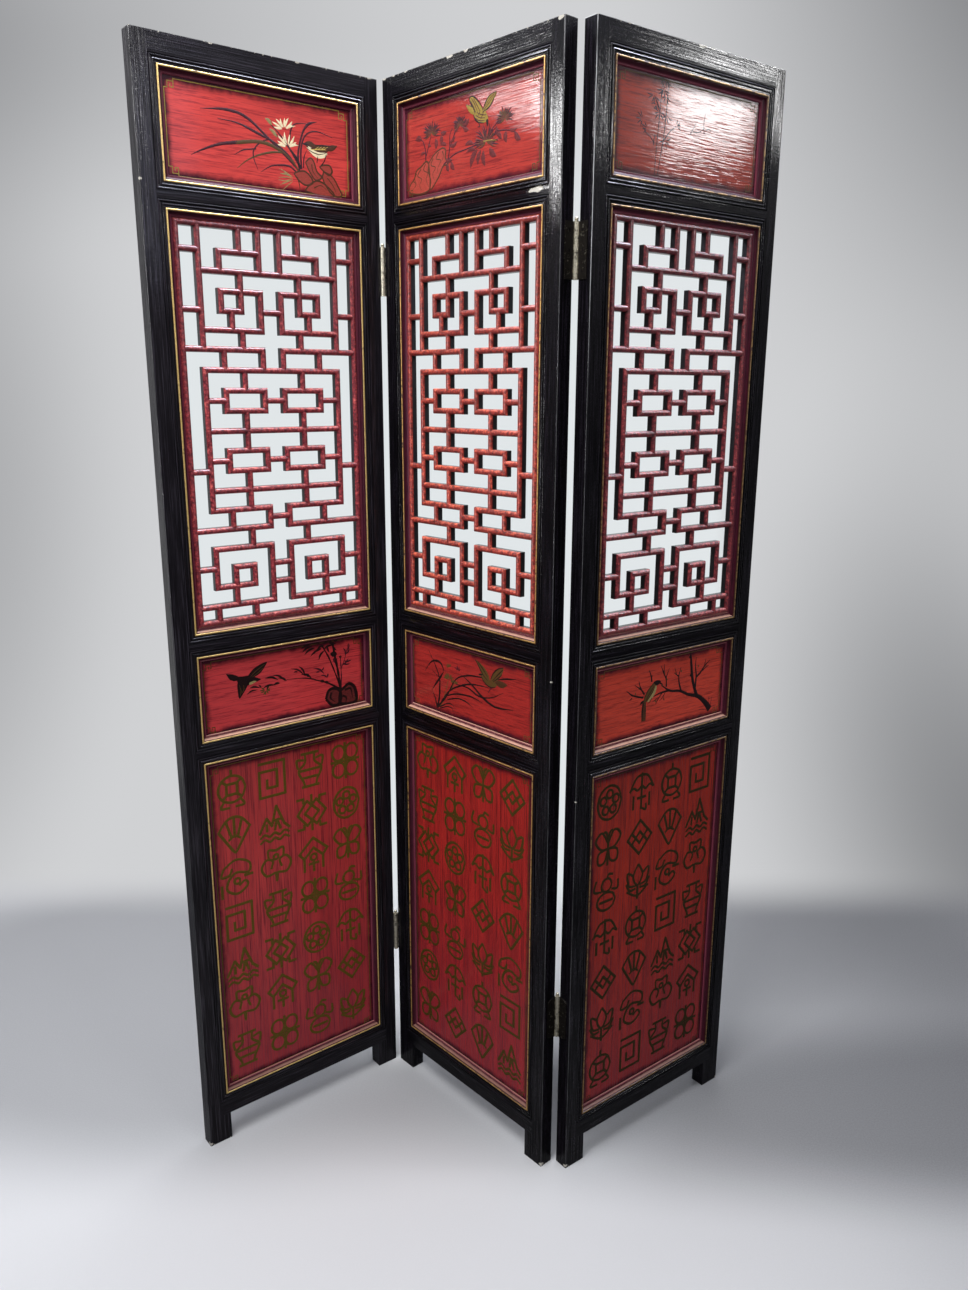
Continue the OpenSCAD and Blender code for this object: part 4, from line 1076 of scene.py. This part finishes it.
# %% Bird on a plum branch, right panel
right_waist = [
    # the branch and its twigs, brushed fuller than their listed widths
    *[line("ink", k, [1.45 * v for v in w]) for k, w in (
        ([(1170, 515), (1110, 450), (1030, 392), (930, 362), (840, 320), (740, 300), (650, 245)],
         [26, 20, 15, 11, 10, 9, 3]),
        ([(1022, 390), (985, 310), (960, 230), (942, 120), (932, 55)], [16, 13, 14, 11, 3]),
        ([(1004, 250), (1050, 220), (1090, 180), (1142, 148)], [9, 8, 6, 2]),
        ([(1000, 322), (1004, 240), (990, 160), (996, 102)], [8, 8, 5, 2]),
        ([(852, 318), (828, 255), (822, 198)], [9, 7, 4]), ([(822, 212), (772, 178)], [5, 2]),
        ([(822, 208), (842, 150)], [5, 2]), ([(800, 196), (778, 142)], [4, 2]),
        ([(702, 265), (696, 190)], [7, 4]), ([(696, 206), (668, 160), (640, 108)], [6, 5, 2]),
        ([(692, 208), (724, 138)], [5, 2]), ([(672, 160), (672, 100)], [5, 2]),
        ([(1082, 190), (1098, 130)], [5, 2]), ([(1060, 215), (1110, 190), (1135, 182)], [4, 4, 2]),
        ([(480, 302), (420, 285), (370, 265), (318, 228)], [8, 6, 6, 2]),
        ([(375, 285), (348, 298)], [5, 2]), ([(490, 282), (450, 230), (430, 178)], [8, 6, 2]),
        ([(452, 240), (392, 200)], [5, 2]), ([(556, 205), (546, 160), (524, 118)], [7, 6, 2]),
        ([(548, 180), (562, 160)], [4, 2]), ([(730, 296), (640, 300), (580, 312)], [8, 6, 4]),
        ([(660, 302), (620, 345), (602, 372)], [5, 4, 2]),
        ([(690, 310), (660, 342), (640, 356)], [4, 3, 2]), ([(620, 330), (570, 350)], [4, 2]),
        ([(676, 330), (682, 358)], [3, 2]))],
    # knots and buds
    *[pool("ink", [(x - 9, y), (x, y - 10), (x + 9, y), (x, y + 10)], 3)
      for x, y in ((928, 92), (944, 226), (905, 345), (1034, 388), (1150, 478), (985, 300))],
    *[pool("olive", [(x - 8, y), (x, y - 8), (x + 8, y), (x, y + 8)], 3) for x, y in (
        (1020, 172), (1092, 182), (676, 164), (704, 214), (792, 190), (820, 208), (402, 262), (438, 232),
        (682, 350), (848, 180), (660, 250), (600, 350))],
    *[line("plum", k, [4, 2]) for k in (
        [(1160, 480), (1150, 420)], [(1175, 490), (1185, 425)], [(1140, 510), (1050, 495)],
        [(1165, 500), (1235, 495)])],
    # the bird: foot, tail, breast, back, head and beak, and the lines of its wing
    line("ink", [(560, 318), (545, 345), (525, 350)], [4, 4, 3]),
    line("umber", [(492, 335), (489, 400), (491, 470)], [22, 34, 30]),
    line("ink", [(482, 340), (478, 400), (480, 465)], [10, 12, 8]),
    line("ink", [(500, 340), (502, 400), (502, 468)], [6, 8, 6]),
    leaf("ink", 490, 325, 446, 350, 14, 0.05),
    pool("sage", [(600, 236), (604, 262), (590, 296), (556, 328), (520, 342), (545, 300), (580, 250)]),
    pool("olive", [(575, 215), (600, 235), (590, 278), (560, 308),
                   (520, 335), (484, 345), (492, 302), (530, 250)]),
    pool("ink", [(572, 214), (598, 203), (632, 207), (646, 222), (628, 233), (600, 238)]),
    leaf("ink", 630, 224, 668, 244, 9, 0),
    *[line("ink", k, [3, 5, 2]) for k in (
        [(575, 220), (530, 252), (492, 305), (482, 345)], [(590, 245), (560, 290), (500, 338)],
        [(580, 240), (540, 285), (505, 325)])],
]
print(len(right_waist), "marks")

# %% [markdown]
# ## Laying the marks on the boards
# Each board's marks become one object that moves with its panel. A later mark lies a hair
# higher than the one before, as wet paint over dry, so two marks never share a surface.
# A gold line runs round each picture, with a small key fret in every corner.

# %% Lay the marks
# x and z of each board's top left corner, and the millimetres between one mark and the next
CORNER = {"top": (37, 1790), "waist": (37, 920), "bottom": (37, 735)}
LAYER_STEP = 0.0008


def paint_board(panel, board, marks, name):
    """All marks of a board as one mesh, with a material slot for each paint in use."""
    left, top = CORNER[board]
    used = sorted({mark[0] for mark in marks})
    points, faces, paints, count = [], [], [], 0
    for order, (paint, spots, lift, closed) in enumerate(marks):
        x, z = left + spots[..., 0] * QUARTER, top - spots[..., 1] * QUARTER
        place = in_room(panel, x, BOARD_DEPTH - lift - order * LAYER_STEP, z).reshape(-1, 3)
        quads = grid_faces(*spots.shape[:2], closed)
        new = quads.tolist()
        if closed:
            # the innermost ring is one point: its quads become triangles to that point
            n = spots.shape[1]
            place, quads = place[n - 1:], quads - (n - 1)
            new = [[0, b, a] for a, b in quads[:n, 3:1:-1]] + quads[n:].tolist()
        points.append(place)
        faces += [[i + count for i in face] for face in new]
        paints += [used.index(paint)] * len(new)
        count += len(place)
    obj = mesh_object(name, np.concatenate(points), faces)
    for paint in used:
        obj.data.materials.append(PAINTS[paint])
    obj.data.polygons.foreach_set("material_index", paints)
    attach(obj, f"{panel}_panel")
    return obj


print("each mark lies", LAYER_STEP, "mm over the one before")

# %% [markdown]
# The border is drawn from key lines. The fret of the first corner is a short list of its own
# corner points, and the other three are that list mirrored in width, in height or in both.

# %% Borders and pictures
# the right and lower end of each board in quarter millimetres, and the border's way in from
# its left, upper, right and lower side
BOARD_ENDS = {"top": (1332, 624), "waist": (1332, 604), "bottom": (1332, 2568)}
MARGINS = (50, 60, 66, 44)
BORDER_LINE = 4.5
FRET_W, FRET_H = 58, 50
FRET = ((0, FRET_H), (22, FRET_H), (22, 14), (FRET_W, 14), (FRET_W, 46), (38, 46), (38, 30))
FRET_JOINT = ((FRET_W, 14), (FRET_W, 0))


def border(paint, board):
    """A line on all four sides, and in each corner a square key fret, mirrored from the
    first."""
    x0, y0 = MARGINS[:2]
    x1, y1 = BOARD_ENDS[board][0] - MARGINS[2], BOARD_ENDS[board][1] - MARGINS[3]
    marks = []
    for x, across in ((x0, 1), (x1, -1)):
        for y, down in ((y0, 1), (y1, -1)):
            for corners in (FRET, FRET_JOINT):
                marks += key_line(paint, np.array(corners) * (across, down) + (x, y), BORDER_LINE)
    for y in (y0, y1):
        marks += key_line(paint, [(x0 + FRET_W, y), (x1 - FRET_W, y)], BORDER_LINE)
    for x in (x0, x1):
        marks += key_line(paint, [(x, y0 + FRET_H), (x, y1 - FRET_H)], BORDER_LINE)
    return marks


PICTURES = {
    ("left", "top"): (left_top, "khaki"),
    ("middle", "top"): (middle_top, "bronze"),
    ("right", "top"): (right_top, "bronze"),
    ("left", "waist"): (left_waist, "bronze"),
    ("middle", "waist"): (middle_waist, "olive"),
    ("right", "waist"): (right_waist, "olive"),
}
for (panel, board), (marks, tone) in PICTURES.items():
    made = paint_board(panel, board, border(tone, board) + marks, f"{panel}_{board}_picture")
    print(made.name, len(made.data.polygons), "faces")

# %% [markdown]
# ## Ornaments of the tall boards
# The tall boards carry a grid of four by seven dull gold ornaments, brushed in strokes about
# 5 mm wide. Each is a short list of strokes in a cell 12 units wide and 14 high: c is a
# smooth curve, k a line with sharp corners and o a ring with its centre and two radii. They are
# auspicious things that such screens show, such as a coin, an endless knot, a lotus and a fan.

# %% Ornament strokes
ORNAMENTS = {
    "coin": "o 0,0 5.2,5; k -2,-2 2,-2 2,2 -2,2 -2,-2; k 0,-5 0,-7; k -3.4,-3.2 -2,-2; k 3.4,-3.2 2,-2;"
            "k -3.4,3.2 -2,2; k 3.4,3.2 2,2; c -3,4 -4.5,6.5 -1,6.8; c 3,4 4.5,6.5 1,6.8",
    "lozenges": "k -2,-5 3,0 -2,5 -6,0 -2,-5; k 2,-5 6,0 2,5 -3,0 2,-5; k 0,-7 0,-4; k 0,4 0,7;"
                "k -6,-6 -3.4,-6 -3.4,-4.4; k 6,-6 3.4,-6 3.4,-4.4; k -6,6 -3.4,6 -3.4,4.4;"
                "k 6,6 3.4,6 3.4,4.4",
    "endless_knot": "k 0,-6.5 4,-2.2 0,2.2 -4,-2.2 0,-6.5; k 0,-2.2 4,2.2 0,6.5 -4,2.2 0,-2.2;"
                    "k -6,0 -4,-2.2 -2,0 -4,2.2 -6,0; k 6,0 4,-2.2 2,0 4,2.2 6,0",
    "cloud": "c 0,6.5 0,3 -4,3.4 -6,0 -4,-3 -1.4,-2 -2.2,1; c 0,6.5 0,3 4,3.4 6,0 4,-3 1.4,-2 2.2,1;"
             "c -3,-3 -3,-6.6 0,-6 3,-6.6 3,-3; o 0,-3.4 1,1",
    "gourd": "o 0,-3 2.5,2.5; o 0,3.2 4.4,3.4; c 0,-5.5 1,-7 3,-6.5; c -2.4,-1 -6,-2 -5,-6;"
             "c 2.4,-1 5.4,-.5 5.5,-4; k -3,3.2 3,3.2",
    "key_square": "k -5,-6.5 5,-6.5 5,6.5 -5,6.5 -5,-3.4 2,-3.4 2,3.2 -2,3.2 -2,0",
    "blossom": "o 0,0 5.6,6.2; o 0,-3.1 1.5,1.5; o 2.9,-1 1.5,1.5; o 1.8,2.6 1.5,1.5; o -1.8,2.6 1.5,1.5;"
               "o -2.9,-1 1.5,1.5",
    "fan": "c -6,-2 -3,-5.6 0,-6.6 3,-5.6 6,-2; c -2.4,2 0,.6 2.4,2; k -6,-2 -1,6; k 6,-2 1,6;"
           "k -3,-5 -1.2,1; k 3,-5 1.2,1; k 0,-6.4 0,1; c -1,6 0,7 1,6",
    "chime": "k -6,-1 0,-6.5 6,-1 4,1.4 0,-2.4 -4,1.4 -6,-1; o 0,1.4 1.3,1.3; k 0,3 0,7; k -4,2 -4,6.5;"
             "k 4,2 4,6.5; k -2,4 2,4",
    "lotus": "c 0,-6.5 -2.4,-2 0,2 2.4,-2 0,-6.5; c -1,2 -4.4,1 -5.4,-4 -2.4,-2.4;"
             "c 1,2 4.4,1 5.4,-4 2.4,-2.4; c -5.6,3 0,6 5.6,3; k 0,2 0,7; c -6,0 -4,3 -1,3;"
             "c 6,0 4,3 1,3",
    "vase": "c -2,-6 -2,-3 -4.8,0 -3,4 -2.4,6; c 2,-6 2,-3 4.8,0 3,4 2.4,6; k -3.4,-6.4 3.4,-6.4;"
            "k -3.4,6.5 3.4,6.5; k -4,0 4,0; c -2.4,-4 -5.4,-4.4 -5,-1; c 2.4,-4 5.4,-4.4 5,-1; k -3,3 3,3",
    "parasol": "c -6,-1 -3,-5.6 0,-6.4 3,-5.6 6,-1; c -6,-1 -4,-2.2 -2,-1 0,-2.2 2,-1 4,-2.2 6,-1;"
               "k 0,-7 0,6; k -4,1 -4,5.6; k 4,1 4,5.6; c 0,6 2.4,7 2.4,4.6; k -2,2 2,2",
    "mountain": "k -6,3 -3,-2.4 -1,1 1,-6.5 4,1 6,3; c -6,5 -4,3.8 -2,5 0,3.8 2,5 4,3.8 6,5;"
                "c -6,7 -4,5.8 -2,7 0,5.8 2,7 4,5.8 6,7; k -.6,-1 2.6,-1; k 1,-1 .2,2.6; k 1.2,-1 2.4,2.6;"
                "k -3,0 -3,2.6",
    "butterfly": "c 0,-2 -3,-6.6 -6,-4 -3.4,-.4 0,0; c 0,-2 3,-6.6 6,-4 3.4,-.4 0,0;"
                 "c 0,0 -4.4,1 -4.4,5 -1.4,4.6 0,0; c 0,0 4.4,1 4.4,5 1.4,4.6 0,0; k 0,-3 0,6;"
                 "c 0,-3 -.8,-6 -2.2,-6.8; c 0,-3 .8,-6 2.2,-6.8",
    "sceptre": "c -5,-4.6 0,-7 5,-4.6 4.6,-1 0,-2 -3,0 -4,4 0,6.4 4,4 3,2 .6,3.4;"
               "c -5,-4.6 -6,-1.6 -3,-1.6 -1.8,-4; k 3,0 6,0; o 0,1.4 1.1,1.1; k -6,2 -6,6.6",
    "four_rings": "o -2.8,-3.4 2.7,3; o 2.8,-3.4 2.7,3; o -2.8,3.4 2.7,3; o 2.8,3.4 2.7,3; k 0,-7 0,7;"
                  "k -6,0 6,0",
}
print(len(ORNAMENTS), "kinds of ornament")

# %% [markdown]
# A small reader turns each list into brush marks, and a loop walks the grid. The three panels
# start at different ornaments, so no two of them are alike.

# %% Lay the ornaments
# the middles of the columns and rows in millimetres, then a unit and a stroke's half width in
# quarter millimetres
COLUMNS_MM = (87, 163.5, 239.5, 313)
ROWS_MM = (674, 590, 507.5, 422.5, 335, 252.5, 162.5)
UNIT = 19.5
STROKE = 15.5


def ornament(paint, strokes, x, y):
    """The strokes of one ornament, in quarter millimetres round the middle of its cell."""
    marks = []
    for stroke in strokes.split(";"):
        kind, *pairs = stroke.split()
        spots = np.array([[float(v) for v in pair.split(",")] for pair in pairs])
        if kind == "o":
            around = np.radians(np.arange(0, 405, 45))
            spots = spots[0] + spots[1] * np.stack([np.cos(around), np.sin(around)], 1)
        spots = spots * UNIT + (x, y)
        if kind == "k":
            marks += key_line(paint, spots, STROKE)
        else:
            widths = [STROKE * 0.8, STROKE, STROKE * 0.85]
            marks.append(line(paint, spots, widths, 4 * (len(spots) - 1)))
    return marks


kinds = list(ORNAMENTS.values())
left, top = CORNER["bottom"]
for turn, (panel, paint) in enumerate(zip(PLACES, ("old_gold", "bronze", "dark_bronze"))):
    marks = border(paint, "bottom")
    for row, z in enumerate(ROWS_MM):
        for column, x in enumerate(COLUMNS_MM):
            # these steps through the kinds keep the same two from standing side by side
            strokes = kinds[(5 * column + 7 * row + 3 * turn) % len(kinds)]
            marks += ornament(paint, strokes, (x - left) / QUARTER, (top - z) / QUARTER)
    made = paint_board(panel, "bottom", marks, f"{panel}_bottom_ornaments")
    print(made.name, len(marks), "strokes,", len(made.data.polygons), "faces")

# %% [markdown]
# ## Studio floor and backdrop
# A roll of pale grey paper hangs behind the screen and runs forward under it. One surface does
# both: a profile of floor, quarter circle and wall is carried sideways. The camera and the
# reflections see the wall as it is painted, whatever the lamps give it: a lit part right behind
# the screen, and broad soft pools of shade beside it. The floor has its pools too, and stays
# a plain surface that takes shadows.

# %% Paper sweep
def paper_sweep(half_width, front, bend_start, radius, height):
    """The profile (y, z) goes level to bend_start, up a quarter circle and then straight up;
    every profile point is repeated along x."""
    turn = np.linspace(0, math.pi / 2, 24)
    y = np.concatenate([np.linspace(front, bend_start, 12), bend_start + radius * np.sin(turn),
                        np.full(12, bend_start + radius)])
    z = np.concatenate([np.zeros(12), radius - radius * np.cos(turn),
                        np.linspace(radius, height, 12)])
    x = np.linspace(-half_width, half_width, 9)
    return np.stack(np.broadcast_arrays(x[None, :], y[:, None], z[:, None]), -1)


sweep_points = paper_sweep(half_width=4.5, front=-3.5, bend_start=0.75, radius=1.15, height=4.2)
sweep = mesh_object("paper_sweep", sweep_points, grid_faces(*sweep_points.shape[:2]))
paper, tree, shader = new_finish("grey_paper", Roughness=0.85, Specular_IOR_Level=0.2)
sweep.data.materials.append(paper)
here = add(tree, "TexCoord").outputs["Object"]
place = add(tree, "SeparateXYZ", {0: here})
light_path = add(tree, "LightPath")
print("paper sweep", sweep_points.shape)

# %% [markdown]
# The scene's own lamps would light the paper evenly. The uneven light of a real room is
# painted on it instead, as a few broad ellipses of shade that fade from their middles out.

# %% Pools of shade
# each ellipse has its middle (x and height on the wall, x and depth on the floor), its half
# width and half height in metres, its strength, and how far out its fall begins, as a share
# of the way
WALL_SHADES = (
    (-1.8, 1.0, 0.75, 3.0, 0.5, 0.0),
    (2.25, 3.6, 2.1, 3.0, 1.0, 0.3),
    (1.6, -0.6, 1.0, 2.3, 1.0, 0.1),
    (-2.3, 2.45, 2.55, 0.8, 0.75, 0.0),
)
FLOOR_SHADES = (
    (1.2, 0.5, 1.15, 2.0, 0.85, 0.0),
    (-0.55, 0.4, 1.2, 0.7, 0.5, 0.6),
    (1.25, 0.0, 1.7, 0.35, 0.8, 0.4),
)


def shaded(tree, tone, shade, across, along, pools):
    """The tone, mixed with the shade inside every pool by its strength times a smooth fall
    over the distance from its middle."""
    for x, y, half_x, half_y, strength, start in pools:
        sides = [add(tree, "MapRange", {"Value": way, "From Min": middle, "From Max": middle + half},
                     clamp=False)
                 for way, middle, half in ((across, x, half_x), (along, y, half_y))]
        spot = add(tree, "CombineXYZ", {0: sides[0], 1: sides[1]})
        away = add(tree, "VectorMath", {0: spot}, operation="LENGTH")
        depth = add(tree, "MapRange", {"Value": away, "From Min": start, "To Min": strength,
                                       "To Max": 0.0}, interpolation_type="SMOOTHSTEP")
        tone = add(tree, "Mix", {0: depth, 6: tone, 7: linear(shade)}, data_type="RGBA")
    return tone


WALL_GREY, WALL_SHADE = "#D0D1D3", "#7A7B7E"
FLOOR_GREY, FLOOR_SHADE = "#C6C7CB", "#4E4F53"
sideways, backwards, upwards = (place.outputs[axis] for axis in "XYZ")
wall_tone = shaded(tree, linear(WALL_GREY), WALL_SHADE, sideways, upwards, WALL_SHADES)
floor_tone = shaded(tree, linear(FLOOR_GREY), FLOOR_SHADE, sideways, backwards, FLOOR_SHADES)
print(len(WALL_SHADES), "pools on the wall and", len(FLOOR_SHADES), "on the floor")

# %% [markdown]
# The wall that shows through the lattice is brighter, as if a lamp stood behind the screen.
# The half width of this glow steps out between 0.28 and 0.42 m of height and then grows
# slowly. It fades over 80 mm at its edge and over 650 mm at its top.

# %% The wall behind the screen
GLOW_WHITE = "#E1E6E8"
lit = add(tree, "MapRange", {"Value": upwards, "From Min": 0.28, "From Max": 0.42,
                             "To Min": 0.42, "To Max": 0.88}, interpolation_type="SMOOTHSTEP")
half_width = add(tree, "Math", {0: upwards, 1: 0.035, 2: lit}, operation="MULTIPLY_ADD")
middle = add(tree, "Math", {0: sideways, 1: 0.08}, operation="ADD")
aside = add(tree, "Math", {0: middle}, operation="ABSOLUTE")
outside = add(tree, "Math", {0: aside, 1: half_width}, operation="SUBTRACT")
glow = add(tree, "MapRange", {"Value": outside, "From Min": 0.0, "From Max": 0.08,
                              "To Min": 1.0, "To Max": 0.0}, interpolation_type="SMOOTHSTEP")
high = add(tree, "MapRange", {"Value": upwards, "From Min": 1.75, "From Max": 2.4},
           interpolation_type="SMOOTHSTEP")
low_glow = add(tree, "Math", {0: 1.0, 1: high}, operation="SUBTRACT")
lit_here = add(tree, "Math", {0: glow, 1: low_glow}, operation="MULTIPLY")
wall_seen = add(tree, "Mix", {0: lit_here, 6: wall_tone, 7: linear(GLOW_WHITE)}, data_type="RGBA")
print("the wall is lit behind the screen")

# %% [markdown]
# The floor is the same paper, with fibres that give it faint flecks, and the glow reaches it
# straight behind the screen. Black lacquer mirrors the room in front of it, which was dim, so
# reflections see a darker floor than the camera does.

# %% The floor
POOL_WHITE, FLECK_GREY, DIM_GREY = "#F2F4F6", "#E6E7EA", "#202124"
rear = add(tree, "MapRange", {"Value": backwards, "From Min": 0.08, "From Max": 0.3},
           interpolation_type="SMOOTHSTEP")
near = add(tree, "MapRange", {"Value": aside, "From Min": 0.32, "From Max": 0.46,
                              "To Min": 1.0, "To Max": 0.0}, interpolation_type="SMOOTHSTEP")
pool_light = add(tree, "Math", {0: near, 1: rear}, operation="MULTIPLY")
fibres = stretched(tree, here, (3, 3, 3), 3)
fleck = add(tree, "Math", {0: fibres, 1: 0.12}, operation="MULTIPLY")
dim = add(tree, "Math", {0: light_path.outputs["Is Glossy Ray"], 1: 0.75}, operation="MULTIPLY")
tone = floor_tone
for where, colour in ((pool_light, POOL_WHITE), (fleck, FLECK_GREY), (dim, DIM_GREY)):
    tone = add(tree, "Mix", {0: where, 6: tone, 7: linear(colour)}, data_type="RGBA")
wire(tree, shader, Base_Color=tone)
print("the floor takes the shadows")

# %% [markdown]
# The two meet where the bend starts. In front of it every ray finds the floor. Beyond it the
# camera and the reflections find the painted wall, and all other rays the floor's paper.

# %% Floor and wall in one paper
eye = add(tree, "Math", {0: light_path.outputs["Is Camera Ray"], 1: light_path.outputs["Is Glossy Ray"]},
          operation="MAXIMUM")
wall = add(tree, "MapRange", {"Value": backwards, "From Min": 0.7, "From Max": 0.95},
           interpolation_type="SMOOTHSTEP")
shown = add(tree, "Math", {0: eye, 1: wall}, operation="MULTIPLY")
painted = add(tree, "Emission", {"Color": wall_seen, "Strength": 1.0})
both = add(tree, "MixShader", {0: shown, 1: shader, 2: painted})
output = next(node for node in tree.nodes if node.type == "OUTPUT_MATERIAL")
wire(tree, output, Surface=both)
print(len(tree.nodes), "nodes in the paper")

# %% [markdown]
# ## Lights
# A large soft lamp hangs over the front left, so the shadow falls to the right and back, and
# three weaker ones fill in from the other sides. The rest of the lamps are what the glossy
# lacquer mirrors: windows and a bulb high up at both sides, the pale right wall, the ceiling,
# and strips that draw thin highlights. Those that only give a glare are hidden from diffuse
# rays, so they light nothing. The grey world fills the shadows.

# %% Lights
def soft_lamp(name, place, target, size, power, colour="#FFFFFF", glare_only=False):
    """A rectangular lamp that faces its target. One for glare only is seen in gloss alone."""
    lamp = bpy.data.objects.new(name, bpy.data.lights.new(name, "AREA"))
    bpy.context.scene.collection.objects.link(lamp)
    lamp.data.shape = "RECTANGLE"
    lamp.data.size, lamp.data.size_y = size
    lamp.data.energy = power
    lamp.data.color = linear(colour)[:3]
    lamp.location = place
    lamp.rotation_mode = "QUATERNION"
    lamp.rotation_quaternion = (Vector(target) - Vector(place)).to_track_quat("-Z", "Y")
    lamp.visible_diffuse = not glare_only
    return lamp


# place, target and size in metres, power in watts, and the colour where it isn't white
LAMPS = {
    "ceiling_lamp": ((-0.7, -1.1, 3.0), (0, 0, 0.6), (1.3, 1.1), 80),
    "front_left_lamp": ((-2.2, -2.0, 2.8), (0, 0, 1.2), (1.0, 1.0), 24),
    "front_right_lamp": ((1.9, -2.2, 2.9), (-0.3, 0, 1.4), (1.0, 1.0), 22),
    "back_lamp": ((0.6, 1.6, 2.8), (0, 0, 0.9), (1.2, 0.8), 16),
    "right_window": ((3.25, -0.18, 2.47), (0.33, -0.04, 1.73), (0.34, 0.3), 12),
}
GLARES = {
    "left_window": ((-2.83, 0.13, 2.38), (0.06, -0.08, 1.7), (0.3, 0.28), 4.5),
    "left_bulb": ((-2.83, -0.06, 2.29), (0.11, -0.14, 1.69), (0.18, 0.34), 12),
    "right_wall": ((2.15, -1.6, 2.2), (-0.46, -0.1, 1.65), (0.4, 0.85), 2.2, "#C6CAE8"),
    "right_strip": ((1.85, -2.0, 2.2), (0.2, -0.15, 1.65), (0.07, 0.6), 9),
    "left_strip": ((-2.4, -1.7, 1.7), (0, 0, 1.3), (0.1, 2.4), 40),
    "ceiling": ((0.1, 0.2, 3.4), (0.1, 0.15, 0), (5.0, 0.6), 560, "#E6EAFF"),
}
for name, settings in LAMPS.items():
    soft_lamp(name, *settings)
for name, settings in GLARES.items():
    soft_lamp(name, *settings, glare_only=True)
print(len(LAMPS), "lamps and", len(GLARES), "glares")

# %% [markdown]
# The world is a plain grey that fills the shadows. The camera sees it pale where the paper
# ends, and the lacquer mirrors it dark, like the unlit end of a room.

# %% World
# how strong the world is to the camera, in reflections and as fill
SEEN, MIRRORED, FILL = 0.85, 0.09, 0.27

world = bpy.data.worlds.new("studio")
bpy.context.scene.world = world
world.use_nodes = True
background = world.node_tree.nodes["Background"]
background.inputs["Color"].default_value = linear("#DCDFE5")
ray = add(world.node_tree, "LightPath")
direct = add(world.node_tree, "MapRange", {"Value": ray.outputs["Is Camera Ray"], "To Min": FILL,
                                           "To Max": SEEN})
strength = add(world.node_tree, "MapRange", {"Value": ray.outputs["Is Glossy Ray"],
                                             "To Min": direct, "To Max": MIRRORED})
wire(world.node_tree, background, Strength=strength)
bpy.context.scene.view_settings.view_transform = "Standard"
print("world set")
